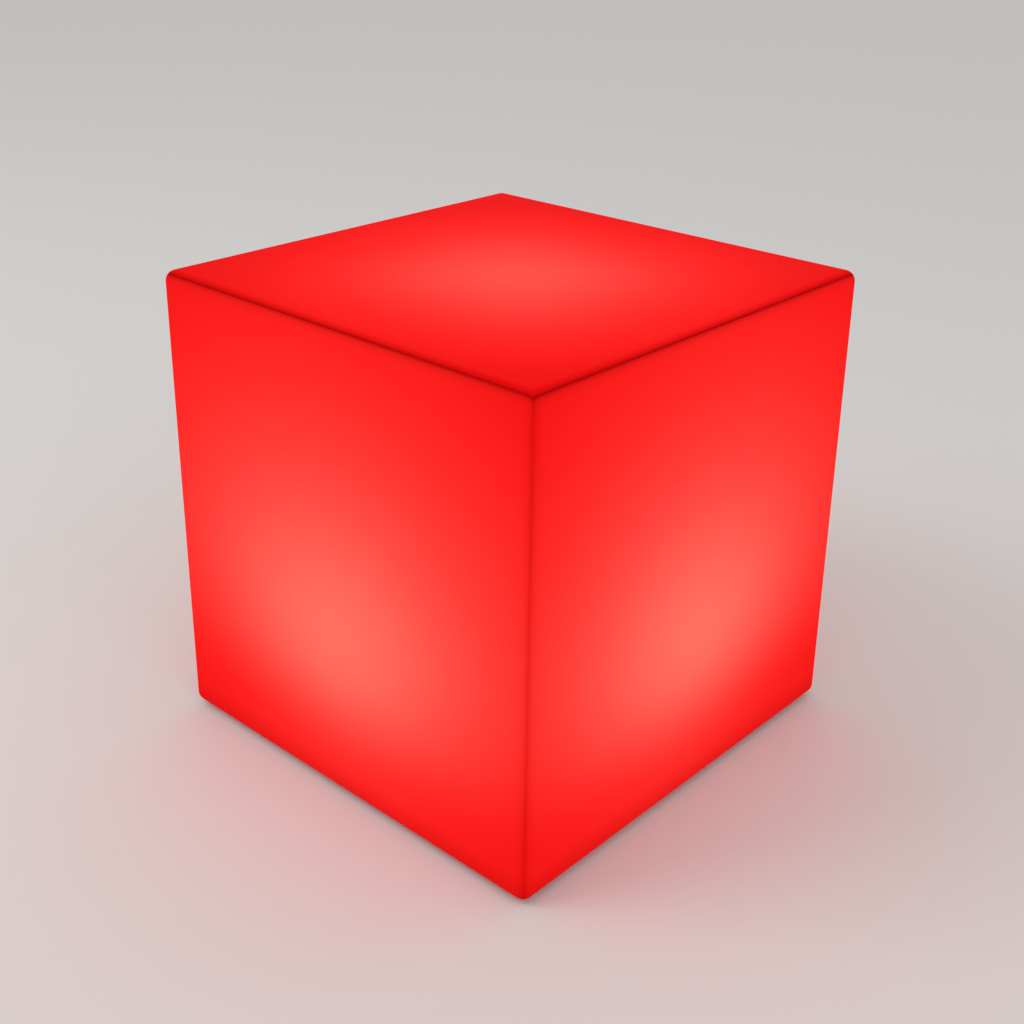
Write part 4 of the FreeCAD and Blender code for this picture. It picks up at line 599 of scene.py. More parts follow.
def add_screw(mesh, centre, seat, screw, way):
    """One pan-head screw with its head on the seat; way is 1 where the shank goes up, -1 down."""
    thread, length, pitch = screw
    head, rise = thread * HEAD_RATIO, thread * HEAD_RISE

    def level(height):
        return seat - way * height

    rings = [ring_of_points(mesh, centre, radius * head, level(height * rise), THREAD_SIDES)
             for radius, height in HEAD_OUTLINE]
    cross = cross_outline(mesh, centre, CROSS_REACH * head, CROSS_WIDTH * head, level(rise))
    fill_between(mesh, rings[0], cross)
    pit = cross_outline(mesh, centre, CROSS_REACH * head * CROSS_FLOOR, CROSS_WIDTH * head * CROSS_TAPER,
                        level(rise * (1 - CROSS_DEPTH)))
    bridge(mesh, [cross, pit])
    close(mesh, pit)
    core, crest = thread * CORE_RATIO, thread * 0.5
    rings.append(ring_of_points(mesh, centre, core, level(0), THREAD_SIDES))
    steps = int(length / pitch * THREAD_STEPS)
    for step in range(1, steps):
        depth = length * step / steps
        fade = min(1.0, step / THREAD_STEPS, (steps - step) / THREAD_STEPS)

        def radius(angle):
            turn = (depth / pitch + way * angle / (2 * math.pi)) % 1.0
            return core + (crest - core) * fade * (1 - 2 * abs(turn - 0.5))

        rings.append(ring_of_points(mesh, centre, radius, level(-depth), THREAD_SIDES))
    rings.append(ring_of_points(mesh, centre, core * TIP_RATIO, level(-length), THREAD_SIDES))
    bridge(mesh, rings)
    close(mesh, rings[-1])


def finish_piece(name, mesh, finishes, replaced=None, body="light_engine"):
    """Turns a bmesh into a piece with its materials, the node it stands for and its body."""
    bmesh.ops.recalc_face_normals(mesh, faces=mesh.faces[:])
    data = bpy.data.meshes.new(name)
    mesh.to_mesh(data)
    mesh.free()
    data.shade_smooth()
    data.set_sharp_from_angle(angle=SMOOTH_ANGLE)
    piece = new_object(name, data)
    for finish in finishes:
        data.materials.append(finish)
    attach(piece, body)
    if replaced:
        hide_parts(replaced)


def make_zinc_steel():
    """Bright zinc plate, a little blue, with rolled lines and small dull patches."""
    made, tree, surface = finish_of("zinc_steel", ZINC, 0.3, Metallic=1.0)
    skin = give_skin(tree, surface, grain=6000.0, depth=0.00001, rough=(0.22, 0.40), drift=400.0)
    colour_by(tree, surface, skin["Drift"], ZINC_DULL, ZINC_BRIGHT)
    return made


ZINC_STEEL = make_zinc_steel()


def round_places(radius, count, first=0.0):
    """Places evenly spaced on a circle."""
    angles = [math.radians(first) + 2 * math.pi * step / count for step in range(count)]
    return [(radius * math.cos(angle), radius * math.sin(angle)) for angle in angles]


def make_screws(node, places, seat, screw, way=-1, body="light_engine"):
    """All the screws of one node as one piece; a screw is its thread, length and pitch."""
    mesh = bmesh.new()
    for centre in places:
        add_screw(mesh, centre, seat, screw, way)
    finish_piece(node + "_threaded", mesh, [ZINC_STEEL], node, body)


make_screws("collar_screws", round_places(COLLAR_SCREW_CIRCLE, 6), COLLAR_SCREW_SEAT, M4_SCREW, 1, "shell")


# ---------------- light engine housing and its seal
# The cup that holds everything electrical, moulded in the collar's white ABS with two finger wells
# to turn it by. A ring of black silicone seals its flange under the collar.

ENGINE_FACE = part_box("engine_base")[0].z
DUST_REACH, DUST_SHARE, RUB_SHARE = 0.006, 0.22, 0.18
ABS_DUSTY, ABS_LOW, ABS_HIGH = (0.36, 0.34, 0.31, 1), (0.75, 0.75, 0.73, 1), (0.81, 0.81, 0.79, 1)
BOARD_SCREWS = (0.033941, 4, 45)
SMALL_SIDES = 24
PILOT_END_OUTLINE = ((0.0009, 0.01803), (0.00156, 0.01801), (0.00156, 0.0190), (0.0008, 0.0193))


def make_pilot_ends():
    """The webs that close the board screws' pilot holes above the wells' ceiling."""
    mesh = bmesh.new()
    for centre in round_places(*BOARD_SCREWS):
        rings = [ring_of_points(mesh, centre, *place, SMALL_SIDES) for place in PILOT_END_OUTLINE]
        bridge(mesh, rings)
        close(mesh, rings[0])
        close(mesh, rings[-1])
    finish_piece("pilot_hole_ends", mesh, [ENGINE_ABS])


def make_engine_abs():
    """The housing's ABS: grey dust settles in patches on its underside, with rubbed marks."""
    made, tree, surface = finish_of("engine_abs", ABS_WHITE, 0.45)
    skin = give_skin(tree, surface, grain=2600.0, depth=0.00004, rough=(0.38, 0.54), drift=18.0)
    worn = placed(tree, SCUFFS_AND_DUST, Scale=45.0)
    do = Sums(tree)
    low = do.ramp(place_parts(tree)["Z"], ENGINE_FACE + DUST_REACH, ENGINE_FACE)
    marks = do.add(do.times(worn["Dust"], DUST_SHARE), do.times(worn["Scuffs"], RUB_SHARE))
    clean = blend_colours(tree, skin["Drift"], ABS_LOW, ABS_HIGH)
    colour_by(tree, surface, do.times(marks, low), clean, ABS_DUSTY)
    return made


ENGINE_ABS = make_engine_abs()

dress("engine_base", ENGINE_ABS)
dress("engine_seal", SEAL_RUBBER)
make_pilot_ends()


# ---------------- battery cells, pads and leads
# Two 18650 lithium cells in blue shrink sleeve, with bare steel ends, lie in the housing's cradles
# under blocks of closed-cell foam. Red and black silicone wires run from their ends.

CELL_END, SLEEVE_DRAWN = 0.0319, 0.027
CELL_AXIS = (0.053, 0.0166)
SLEEVE_LIP, SLEEVE_HOLE = 0.0076, 0.0073
SLEEVE_BLUE, CELL_STEEL = (0.03, 0.13, 0.42, 1), (0.66, 0.65, 0.62, 1)
FOAM, FOAM_PIT_SHADE, FOAM_CREST_LIGHT = (0.05, 0.05, 0.052, 1), (0.025, 0.025, 0.027, 1), (0.10, 0.10, 0.10, 1)
WIRE_RED, WIRE_DARK, WIRE_BRIGHT = (0.5, 0.02, 0.02, 1), (0.42, 0.015, 0.015, 1), (0.58, 0.03, 0.03, 1)
WIRE_BLACK, WIRE_BORDER = (0.02, 0.02, 0.022, 1), 0.0001


def make_cell_finish():
    """Glossy shrink sleeve that is drawn in over each end, and nickel-plated steel inside its edge."""
    made, tree, surface = finish_of("cell_sleeve", SLEEVE_BLUE, 0.3)
    do = Sums(tree)
    split = place_parts(tree)
    side = do.less(do.size(split["Y"]), CELL_AXIS[0])
    up = do.less(split["Z"], CELL_AXIS[1])
    reach = do.length(side, up)
    along = do.size(split["X"])
    bare = do.times(do.ramp(along, CELL_END, CELL_END + 0.0003), do.ramp(reach, SLEEVE_LIP, SLEEVE_HOLE))
    wrinkles = noise(tree, 240.0, 3.0)
    drawn = do.times(wrinkles, do.add(0.15, do.ramp(along, SLEEVE_DRAWN, CELL_END)))
    give_bump(tree, surface, drawn, strength=0.6, depth=0.0002)
    tree.links.new(bare, surface.inputs["Metallic"])
    sleeve = blend_colours(tree, wrinkles, *shades(SLEEVE_BLUE, 0.8, 1.25))
    colour_by(tree, surface, bare, sleeve, CELL_STEEL)
    return made


def make_foam():
    """Black polyethylene foam with cut cells all over it, with painted shade in the cells' pits and painted
    light on their crests.
    """
    made, tree, surface = finish_of("cell_foam", FOAM, 0.92)
    cells = new_node(tree, "TexVoronoi", Vector=object_place(tree), Scale=1100.0)
    give_bump(tree, surface, cells.outputs["Distance"], strength=0.9, depth=0.0004)
    # Painted shade in the cells' pits, painted light on their crests.
    colour_by(tree, surface, cells.outputs["Distance"], FOAM_PIT_SHADE, FOAM_CREST_LIGHT)
    return made


def make_wire_pair():
    """Silicone wire: red on the positive side of the housing, black on the other."""
    made, tree, surface = finish_of("silicone_wire", WIRE_RED, 0.45)
    skin = give_skin(tree, surface, grain=2600.0, depth=0.00003, rough=(0.38, 0.55), drift=200.0)
    red = blend_colours(tree, skin["Drift"], WIRE_DARK, WIRE_BRIGHT)
    positive = Sums(tree).ramp(place_parts(tree)["X"], -WIRE_BORDER, WIRE_BORDER)
    colour_by(tree, surface, positive, WIRE_BLACK, red)
    return made


WIRE_PAIR = make_wire_pair()

dress("battery_cells", make_cell_finish())
dress("battery_pads", make_foam())
dress("battery_leads", WIRE_PAIR)


# ---------------- control board and its screws
# Green FR4 board with copper tracks under its solder mask, screwed to four posts. Rows of small
# chip resistors and ceramic capacitors are reflow soldered to it.

BOARD_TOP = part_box("control_board")[1].z
PART_BEVEL = 0.12
TRACK_WIDTH, TRACK_ROW = 0.03, 0.3
TRACK_LAYS = ((0.0, 0.9), (math.pi / 2, 1.7))
ISLAND_SIZE, ISLAND_HEIGHT = 1.3, 0.8
PART_WIDTH, PART_RISE = 0.001, 0.0006
PART_BODY = (0.00124, 0.00096, 0.000564)
CAP_SHIFT, CAP_LENGTH = 0.0008, 0.0004


def make_track_group():
    """Copper tracks under a solder mask: raised narrow lines that turn square corners."""
    group, given, out = new_group("copper_tracks", {"Scale": 120.0}, ("Tracks",))
    do = Sums(group)
    masks = []
    for turn, wide in TRACK_LAYS:
        laid = new_node(group, "Mapping", Vector=object_place(group), Rotation=(0, 0, turn))
        tracks = new_node(group, "TexBrick", Vector=laid.outputs[0], Scale=given.outputs["Scale"],
                          Mortar_Size=TRACK_WIDTH, Mortar_Smooth=0.1, Brick_Width=wide, Row_Height=TRACK_ROW)
        masks.append(tracks.outputs["Fac"])
    laid_where = new_node(group, "TexVoronoi", Vector=object_place(group), distance="CHEBYCHEV",
                          Scale=do.times(given.outputs["Scale"], ISLAND_SIZE))
    chosen = new_node(group, "SeparateXYZ", Vector=laid_where.outputs["Color"]).outputs
    parts = [do.times(mask, do.ramp(chosen[axis], 0.52, 0.56)) for mask, axis in zip(masks, "XY")]
    pours = do.times(do.ramp(chosen["Z"], 0.86, 0.88), ISLAND_HEIGHT)
    group.links.new(do.larger(do.larger(*parts), pours), out.inputs["Tracks"])
    return group


COPPER_TRACKS = make_track_group()


def make_board_finish(name, mask_colour, track_colour, rough, scale):
    """Solder mask over laminate, paler over the copper."""
    made, tree, surface = finish_of(name, mask_colour, rough)
    tracks = placed(tree, COPPER_TRACKS, Scale=scale)
    skin = placed(tree, MOULD_SKIN, Grain=1800.0, Drift=60.0)
    do = Sums(tree)
    lay = do.add(tracks["Tracks"], do.times(skin["Height"], 0.2))
    give_bump(tree, surface, lay, strength=0.7, depth=0.00004)
    ground = blend_colours(tree, skin["Drift"], *shades(mask_colour, 0.92, 1.05))
    colour_by(tree, surface, tracks["Tracks"], ground, track_colour)
    return made


def cut_square(mesh, centre, x, y, cut, height, turn):
    """An outline with cut corners round a centre; x and y are half its sides."""
    cosine, sine = math.cos(turn), math.sin(turn)
    corners = ((x, cut - y), (x, y - cut), (x - cut, y), (cut - x, y), (-x, y - cut), (-x, cut - y),
               (cut - x, -y), (x - cut, -y))
    return [mesh.verts.new((centre[0] + across * cosine - along * sine,
                            centre[1] + across * sine + along * cosine, height))
            for across, along in corners]


def add_block(mesh, centre, size, turn=0.0, finish=0):
    """A small block that stands on its centre's height, chamfered on its upright and top edges."""
    x, y, rise = size[0] / 2, size[1] / 2, size[2]
    cut = min(size) * PART_BEVEL
    rings = [cut_square(mesh, centre, x - inset, y - inset, cut, centre[2] + height, turn)
             for inset, height in ((0, 0), (0, rise - cut), (cut, rise))]
    close(mesh, rings[0], finish)
    bridge(mesh, rings, finish)
    close(mesh, rings[-1], finish)


def add_chip_part(mesh, place, height, turn, body_finish):
    """A chip resistor or capacitor: its body, and a tinned cap over each end."""
    add_block(mesh, (*place, height), PART_BODY, turn, body_finish)
    for shift in (-CAP_SHIFT, CAP_SHIFT):
        middle = (place[0] + shift * math.cos(turn), place[1] + shift * math.sin(turn), height)
        add_block(mesh, middle, (CAP_LENGTH, PART_WIDTH, PART_RISE), turn)


GREEN_BOARD = make_board_finish("green_mask", (0.02, 0.16, 0.06, 1), (0.05, 0.27, 0.10, 1), 0.28, 110.0)
SOLDER = moulded("solder", (0.62, 0.63, 0.64, 1), (0.24, 0.42), grain=5000.0, depth=0.00002, shade=0.08,
                 Metallic=1.0)
CERAMIC_TAN = moulded("ceramic_tan", (0.42, 0.30, 0.19, 1), (0.45, 0.6), grain=5000.0, depth=0.00002,
                      shade=0.10)
RESISTOR_BLACK = moulded("resistor_glaze", (0.02, 0.02, 0.022, 1), (0.25, 0.4), grain=5000.0, depth=0.00001,
                         shade=0.15)

SMALL_PART_ROWS = (*((start, along, 5) for start in (-62.0, 48.4) for along in (-20.0, -12.0, 12.0, 20.0)),
                   (-13.0, -5.0, 8))
SMALL_PART_PITCH = 3.4


def make_small_parts():
    """Rows of chip parts on the free places of the control board, in millimetres from its middle."""
    mesh = bmesh.new()
    for row, (start, along, count) in enumerate(SMALL_PART_ROWS):
        for step in range(count):
            across = start + step * SMALL_PART_PITCH
            place = (across / 1000, along / 1000)
            add_chip_part(mesh, place, BOARD_TOP, math.pi / 2, 1 + (row + step) % 2)
    finish_piece("control_chip_parts", mesh, [SOLDER, CERAMIC_TAN, RESISTOR_BLACK])


dress("control_board", GREEN_BOARD)
make_small_parts()
make_screws("control_board_screws", round_places(*BOARD_SCREWS), BOARD_TOP, M3_SCREW)


# ---------------- chips, capacitors and charger coil
# Three moulded epoxy packages with tinned gull-wing legs, two aluminium electrolytic capacitors
# with a crimp at the foot and a scored vent, and a wound ferrite drum, all soldered to the board.

CHIP_CENTRES, CHIP_ROW, CHIP_WIDTH = (-0.014, 0.0, 0.014), 0.014, 0.008
LEG_PITCH, LEG_COUNT, LEG_WIDTH = 0.001, 7, 0.0004
LEG_PARTS = ((0.0008, 0.0, 0.0009, 0.00015), (0.00045, 0.0, 0.0002, 0.0008),
             (0.00018, 0.00065, 0.0005, 0.00015))
EPOXY = moulded("moulded_epoxy", (0.025, 0.025, 0.027, 1), (0.5, 0.68), grain=3600.0, depth=0.00003,
                shade=0.10)
COPPER_WIRE = moulded("enamelled_copper", (0.62, 0.26, 0.11, 1), (0.22, 0.34), grain=4000.0, depth=0.00001,
                      shade=0.12, Metallic=1.0)
FERRITE = moulded("ground_ferrite", (0.07, 0.07, 0.075, 1), (0.45, 0.62), grain=3000.0, depth=0.00005,
                  shade=0.15)
ALUMINIUM_CAN = moulded("drawn_aluminium", (0.74, 0.75, 0.76, 1), (0.24, 0.36), grain=5000.0, depth=0.00001,
                        shade=0.04, Metallic=1.0)
TURNED_SIDES = 40
CAN_PLACES = ((0.006, -0.014), (0.018, -0.014))
CAN_OUTLINE = ((0.0038, 0.0), (0.0040, 0.0003), (0.0040, 0.0009), (0.0036, 0.0013), (0.0036, 0.0017),
               (0.0040, 0.0021), (0.0040, 0.0083), (0.0038, 0.0088), (0.0034, 0.0090))
VENT = (0.0030, 0.0002)
VENT_DEPTH = 0.00012
COIL_PLACE, COIL_HEIGHT = (-0.012, -0.014), 0.005
DRUM_OUTLINE = ((0.0054, 0.0), (0.0054, 0.0009), (0.0030, 0.0009))
COIL_TURNS, COIL_RADIUS, BEAD_STEPS = 6, 0.0046, 6


def make_legs():
    """Gull-wing legs along two sides of each chip: a foot on the board and a shoulder at the body."""
    mesh = bmesh.new()
    for middle, way, step in itertools.product(CHIP_CENTRES, (-1, 1), range(LEG_COUNT)):
        across = middle + (step - (LEG_COUNT - 1) / 2) * LEG_PITCH
        edge = CHIP_ROW + way * CHIP_WIDTH / 2
        for out, up, length, rise in LEG_PARTS:
            add_block(mesh, (across, edge + way * out, BOARD_TOP + up), (LEG_WIDTH, length, rise))
    finish_piece("control_chip_legs", mesh, [SOLDER])


def add_turned(mesh, centre, height, outline, finish=0, flip=1):
    """A turned body from (radius, height) pairs, open at both ends; returns its first and last ring."""
    rings = [ring_of_points(mesh, centre, radius, height + flip * rise, TURNED_SIDES)
             for radius, rise in outline]
    bridge(mesh, rings, finish)
    return rings[0], rings[-1]


def make_capacitors():
    """Aluminium cans on the board, each with a scored cross in its top."""
    mesh = bmesh.new()
    for centre in CAN_PLACES:
        foot, top = add_turned(mesh, centre, BOARD_TOP, CAN_OUTLINE)
        close(mesh, foot)
        height = BOARD_TOP + CAN_OUTLINE[-1][1]
        scored = cross_outline(mesh, centre, *VENT, height)
        fill_between(mesh, top, scored)
        floor = cross_outline(mesh, centre, *VENT, height - VENT_DEPTH)
        bridge(mesh, [scored, floor])
        close(mesh, floor)
    finish_piece("capacitor_cans", mesh, [ALUMINIUM_CAN], "capacitors")


def make_charger_coil():
    """A ferrite drum with turns of enamelled wire between its two flanges."""
    mesh = bmesh.new()
    for height, flip in ((BOARD_TOP, 1), (BOARD_TOP + COIL_HEIGHT, -1)):
        outer, core = add_turned(mesh, COIL_PLACE, height, DRUM_OUTLINE, flip=flip)
        close(mesh, outer)
        close(mesh, core)
    gauge = (COIL_HEIGHT - 2 * DRUM_OUTLINE[1][1]) / COIL_TURNS
    arc = [math.pi * step / BEAD_STEPS for step in range(BEAD_STEPS)]
    windings = [(COIL_RADIUS + gauge / 2 * math.sin(angle), turn * gauge + gauge / 2 * (1 - math.cos(angle)))
                for turn in range(COIL_TURNS) for angle in arc]
    windings.append((COIL_RADIUS, COIL_TURNS * gauge))
    low, high = add_turned(mesh, COIL_PLACE, BOARD_TOP + DRUM_OUTLINE[1][1], windings, 1)
    close(mesh, low, 1)
    close(mesh, high, 1)
    finish_piece("charger_coil_wound", mesh, [FERRITE, COPPER_WIRE], "charger_coil")


dress("control_chips", EPOXY)
make_legs()
make_capacitors()
make_charger_coil()


# ---------------- LED connector and leads
# A two-way wire connector of natural nylon in the middle of the board; its wires rise to the LED
# board. Latch ribs and tinned crimps show on its sides.

NYLON = moulded("natural_nylon", (0.80, 0.77, 0.68, 1), (0.34, 0.46), grain=3000.0, depth=0.00002,
                shade=0.04)
CRIMP_PLACES, CRIMP_OUT, CRIMP_UP, CRIMP_SIZE = (-0.002, 0.002), 0.00305, 0.0014, (0.0010, 0.0003, 0.0016)
RIB_PLACES, RIB_OUT, RIB_UP, RIB_SIZE = (-0.0038, 0.0, 0.0038), 0.0031, 0.0002, (0.0006, 0.0004, 0.0038)


def make_connector_ribs():
    """Latch ribs and tinned crimps on the long sides of the connector."""
    mesh = bmesh.new()
    for way in (-1, 1):
        for across in CRIMP_PLACES:
            add_block(mesh, (across, way * CRIMP_OUT, BOARD_TOP + CRIMP_UP), CRIMP_SIZE, 0, 1)
        for across in RIB_PLACES:
            add_block(mesh, (across, way * RIB_OUT, BOARD_TOP + RIB_UP), RIB_SIZE)
    finish_piece("led_connector_ribs", mesh, [NYLON, SOLDER])


dress("led_connector", NYLON)
make_connector_ribs()
dress("led_leads", WIRE_PAIR)


# ---------------- power switch, its button and ring
# A sealed tact switch under the board, worked by a grey ABS button that slides in the housing's
# sleeve; a rubber ring keeps water out round it.

SWITCH_CENTRE, SWITCH_SIDE = 0.058, 0.0074
SWITCH_LEG, SWITCH_LEG_ROWS = (0.0004, 0.0009, 0.0026), (-0.00225, 0.00225)
BUTTON_GREY, BUTTON_RUBBED = (0.075, 0.075, 0.08, 1), (0.115, 0.115, 0.12, 1)
BUTTON_DISH, BUTTON_MIDDLE = 0.0045, 0.001


def make_button_finish():
    """Grey ABS, rubbed a little paler in the middle of the face."""
    made, tree, surface = finish_of("button_abs", BUTTON_GREY, 0.36)
    skin = give_skin(tree, surface, grain=3200.0, depth=0.00003, rough=(0.28, 0.42), drift=90.0)
    do = Sums(tree)
    split = place_parts(tree)
    reach = do.length(do.less(split["X"], SWITCH_CENTRE), split["Y"])
    worn = do.add(0.4, do.times(skin["Drift"], 0.6))
    rubbed = do.times(do.ramp(reach, BUTTON_DISH, BUTTON_MIDDLE), worn)
    colour_by(tree, surface, rubbed, BUTTON_GREY, BUTTON_RUBBED)
    return made


def make_switch_legs():
    """Two bent steel legs on each side of the switch, soldered up into the board."""
    mesh = bmesh.new()
    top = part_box("switch_body")[1].z
    out = (SWITCH_SIDE + SWITCH_LEG[0]) / 2
    for way, along in itertools.product((-1, 1), SWITCH_LEG_ROWS):
        add_block(mesh, (SWITCH_CENTRE + way * out, along, top - SWITCH_LEG[2]), SWITCH_LEG)
    finish_piece("switch_legs", mesh, [SOLDER])


dress("switch_body", EPOXY)
make_switch_legs()
dress("switch_plunger", moulded("plunger_acetal", (0.52, 0.03, 0.03, 1), (0.3, 0.4), grain=3000.0,
                                depth=0.00001))
dress("power_button", make_button_finish())
dress("button_ring", SEAL_RUBBER)


# ---------------- charging socket, nut and plug
# A black panel socket with a nickel-plated hexagon nut, soldered to the board, and the soft grey
# silicone plug that keeps it dry, held by its own tether.

SOCKET_CENTRE = -0.058
FACING_PITCH = 0.00025
NICKEL, NICKEL_DULL, NICKEL_BRIGHT = (0.68, 0.66, 0.62, 1), (0.58, 0.56, 0.52, 1), (0.74, 0.72, 0.68, 1)
PLUG_GREY = (0.060, 0.060, 0.064, 1)
TAIL_SIZE, TAIL_REACH, TAIL_BEARINGS = (0.0004, 0.0016, 0.004), 0.0056, (30, 150, 270)


def make_nut_finish():
    """Nickel plate over the fine rings that facing the nut leaves round the socket's axis."""
    made, tree, surface = finish_of("nickel_nut", NICKEL, 0.26, Metallic=1.0)
    do = Sums(tree)
    split = place_parts(tree)
    reach = do.length(do.less(split["X"], SOCKET_CENTRE), split["Y"])
    rings = do.run("SINE", do.times(reach, 2 * math.pi / FACING_PITCH))
    give_bump(tree, surface, rings, strength=0.5, depth=0.00002)
    skin = placed(tree, MOULD_SKIN, Grain=5000.0, Drift=500.0)
    colour_by(tree, surface, skin["Drift"], NICKEL_DULL, NICKEL_BRIGHT)
    return made


def make_socket_tails():
    """Three tinned solder tails on the socket's side, under the board."""
    mesh = bmesh.new()
    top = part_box("charge_socket")[1].z
    for angle in map(math.radians, TAIL_BEARINGS):
        add_block(mesh, (SOCKET_CENTRE + TAIL_REACH * math.cos(angle), TAIL_REACH * math.sin(angle),
                         top - TAIL_SIZE[2]), TAIL_SIZE, angle)
    finish_piece("socket_tails", mesh, [SOLDER])


dress("charge_socket", EPOXY)
dress("socket_nut", make_nut_finish())
make_socket_tails()
dress("port_plug", moulded("plug_silicone", PLUG_GREY, (0.48, 0.62), grain=2400.0, depth=0.00004, shade=0.08,
                           dust=0.20, dust_scale=110.0))


# ---------------- charging window
# A clear acrylic light pipe in the housing's underside, which brings the charging light down from
# the board to where it shows.


def make_clear_acrylic():
    """Water-clear acrylic with the faintest skin."""
    made, tree, surface = finish_of("clear_acrylic", (0.94, 0.95, 0.95, 1), 0.06, Transmission_Weight=1.0,
                                    IOR=1.49)
    skin = placed(tree, MOULD_SKIN, Grain=700.0, Drift=60.0)
    give_bump(tree, surface, skin["Height"], strength=0.25, depth=0.00003)
    return made


dress("charge_window", make_clear_acrylic())


# ---------------- LED board and its screws
# A round aluminium-core board under white solder mask, screwed to four posts over the control
# board, with ballast resistors round its rings of LEDs.

LED_BOARD_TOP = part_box("led_board")[1].z
LED_RINGS = ((0.012, 4), (0.027, 10), (0.042, 16))
RESISTOR_RINGS = ((0.019, 6), (0.0345, 12), (0.0505, 16))
RECEIVER_CENTRE, RECEIVER_CLEAR = (0.0, 0.0195), 0.0075
LED_BOARD_SCREWS, SCREW_CLEAR = round_places(0.052, 4, 45), 0.0055
WHITE_BOARD = make_board_finish("white_mask", (0.84, 0.84, 0.83, 1), (0.90, 0.89, 0.86, 1), 0.32, 75.0)


def make_ballast():
    """Chip resistors round the rings of LEDs, clear of the board's screws and the receiver."""
    mesh = bmesh.new()
    for radius, count in RESISTOR_RINGS:
        for place in round_places(radius, count, 180 / count):
            clear = all(math.dist(place, screw) > SCREW_CLEAR for screw in LED_BOARD_SCREWS)
            if clear and math.dist(place, RECEIVER_CENTRE) > RECEIVER_CLEAR:
                turn = math.atan2(place[1], place[0]) + math.pi / 2
                add_chip_part(mesh, place, LED_BOARD_TOP, turn, 1)
    finish_piece("led_board_resistors", mesh, [SOLDER, RESISTOR_BLACK])


dress("led_board", WHITE_BOARD)
make_ballast()
make_screws("led_board_screws", LED_BOARD_SCREWS, LED_BOARD_TOP, M3_SCREW)


# ---------------- LEDs and remote receiver
# Thirty 5 mm surface-mount LEDs: a white moulded frame with a round well of clear resin that glows
# red, on tinned pads. The receiver for the hand control stands among them in smoked epoxy.

LED_SIDE, LED_HEIGHT = 0.005, 0.0016
WELL_OUTLINE = ((0.0019, 0.0), (0.0017, -0.00035))
LED_CORNER, LED_BEVEL = 0.0003, 0.0001
PAD_SIZE, PAD_OUT = (0.0006, 0.0030, 0.0004), 0.0003
RECEIVER_LEG_ROWS = (-0.00254, 0.0, 0.00254)
RECEIVER_LEG_PARTS = ((0.0004, (0.0005, 0.0008, 0.0003)), (0.00014, (0.00044, 0.0003, 0.0018)))
LED_WHITE = moulded("led_frame", (0.86, 0.86, 0.84, 1), (0.4, 0.5), grain=4000.0, depth=0.00002, shade=0.02)
LED_GLOW = moulded("lit_resin", (0.8, 0.25, 0.2, 1), (0.15, 0.25), grain=2000.0, depth=0.00001,
                   Emission_Strength=1.0, Emission_Color=(1.0, 0.34, 0.28, 1))


def add_led(mesh, place, turn):
    """One package: frame, resin well, and a pad of solder at each of two sides."""
    half, top = LED_SIDE / 2, LED_BOARD_TOP + LED_HEIGHT
    foot, upper, rim = (cut_square(mesh, place, side, side, LED_CORNER, height, turn) for side, height in (
        (half, LED_BOARD_TOP), (half, top - LED_BEVEL), (half - LED_BEVEL, top)))
    close(mesh, foot)
    bridge(mesh, [foot, upper, rim])
    lip, floor = (ring_of_points(mesh, place, radius, top + rise, SMALL_SIDES)
                  for radius, rise in WELL_OUTLINE)
    fill_between(mesh, rim, lip)
    bridge(mesh, [lip, floor])
    close(mesh, floor, 1)
    for reach in (-half - PAD_OUT, half + PAD_OUT):
        middle = (place[0] + reach * math.cos(turn), place[1] + reach * math.sin(turn), LED_BOARD_TOP)
        add_block(mesh, middle, PAD_SIZE, turn, 2)


def make_leds():
    """All the LEDs, each turned to face out from the middle of its ring."""
    mesh = bmesh.new()
    for radius, count in LED_RINGS:
        for place in round_places(radius, count):
            add_led(mesh, place, math.atan2(place[1], place[0]))
    finish_piece("led_packages", mesh, [LED_WHITE, LED_GLOW, SOLDER], "led_chips")


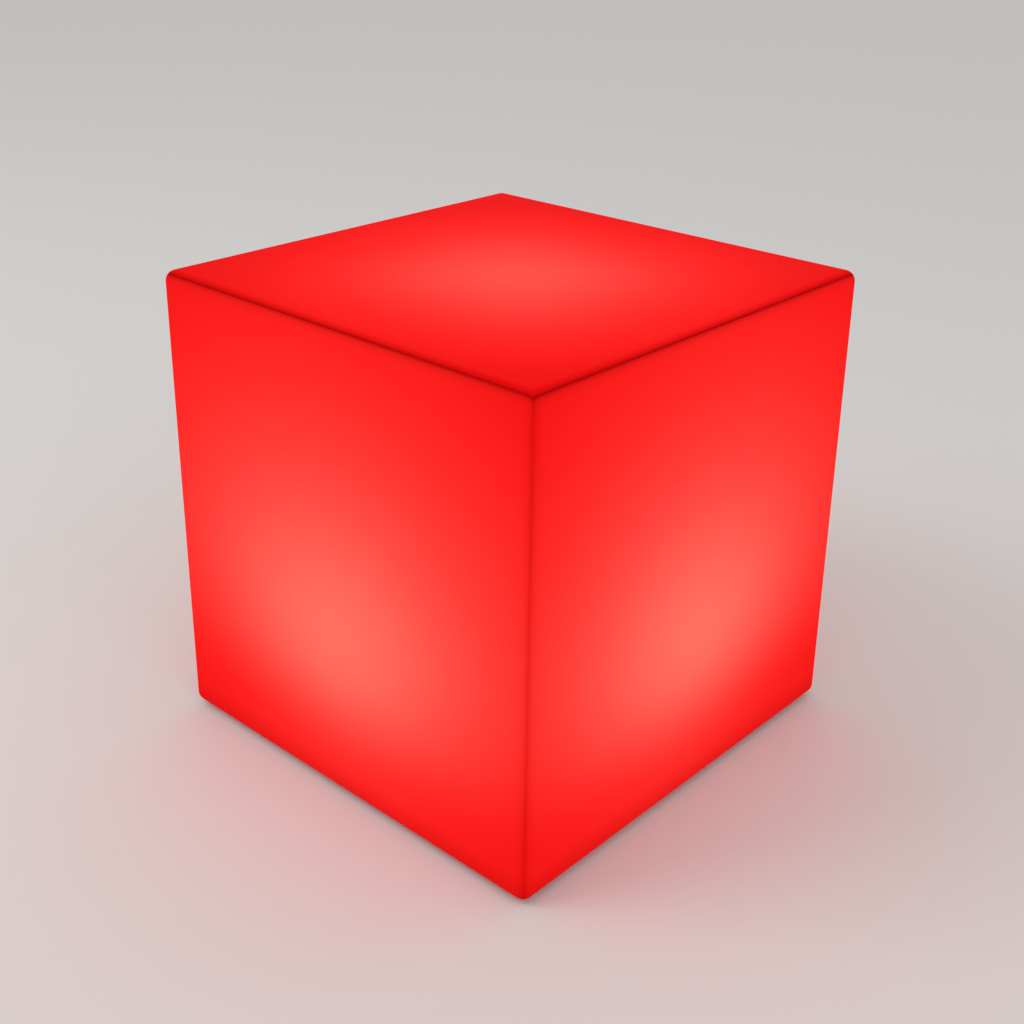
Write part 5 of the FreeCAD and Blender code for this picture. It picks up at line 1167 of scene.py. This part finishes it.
def make_receiver_legs():
    """Three bent legs at the receiver's back."""
    mesh = bmesh.new()
    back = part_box("remote_receiver")[1].y
    for across, (out, size) in itertools.product(RECEIVER_LEG_ROWS, RECEIVER_LEG_PARTS):
        add_block(mesh, (across, back + out, LED_BOARD_TOP), size)
    finish_piece("receiver_legs", mesh, [SOLDER])


make_leds()
dress("remote_receiver", moulded("smoked_epoxy", (0.03, 0.018, 0.025, 1), (0.10, 0.18), grain=1500.0,
                                 depth=0.00001, shade=0.1))
make_receiver_legs()


# ---------------- lens, its gasket and screws
# A shallow dome of frosted polycarbonate over the LEDs, clamped on a silicone gasket by six small
# screws. Each ring of LEDs shows in it as a soft bright band, painted into its emission colour.

LENS_RED = (0.35, 0.03, 0.02, 1)
LENS_SCREWS, LENS_SCREW_SEAT = round_places(0.068, 6, 30), 0.0395
LENS_REST, BAND_GLOW, BAND_WIDTH = 0.10, 0.22, 0.0065
LENS_DARK, LENS_LIT = 0.066, 0.056
RED_LEAST, RED_MOST, LENS_BLUE = 0.35, 0.92, 0.8


def make_lit_lens():
    """Frosted polycarbonate with red light behind it, painted into its emission colour, brightest over the
    rings of LEDs.
    """
    made, tree, surface = finish_of("lit_frosted_lens", LENS_RED, 0.5, Emission_Strength=1.0)
    give_skin(tree, surface, grain=1400.0, depth=0.00006, rough=(0.42, 0.58))
    do = Sums(tree)
    split = place_parts(tree)
    reach = do.length(split["X"], split["Y"])
    glow = LENS_REST
    for radius, _ in LED_RINGS:
        off = do.over(do.less(reach, radius), BAND_WIDTH)
        glow = do.add(glow, do.times(do.exp(do.times(off, off), -1.0), BAND_GLOW))
    lit = do.ramp(reach, LENS_DARK, LENS_LIT)
    green = do.times(glow, lit)
    mixed = new_node(tree, "CombineColor", Red=do.mix(lit, RED_LEAST, RED_MOST), Green=green,
                     Blue=do.times(green, LENS_BLUE))
    tree.links.new(mixed.outputs[0], surface.inputs["Emission Color"])
    return made


dress("lens_gasket", SEAL_RUBBER)
dress("lens_cover", make_lit_lens())
make_screws("lens_screws", LENS_SCREWS, LENS_SCREW_SEAT, M3_SCREW)
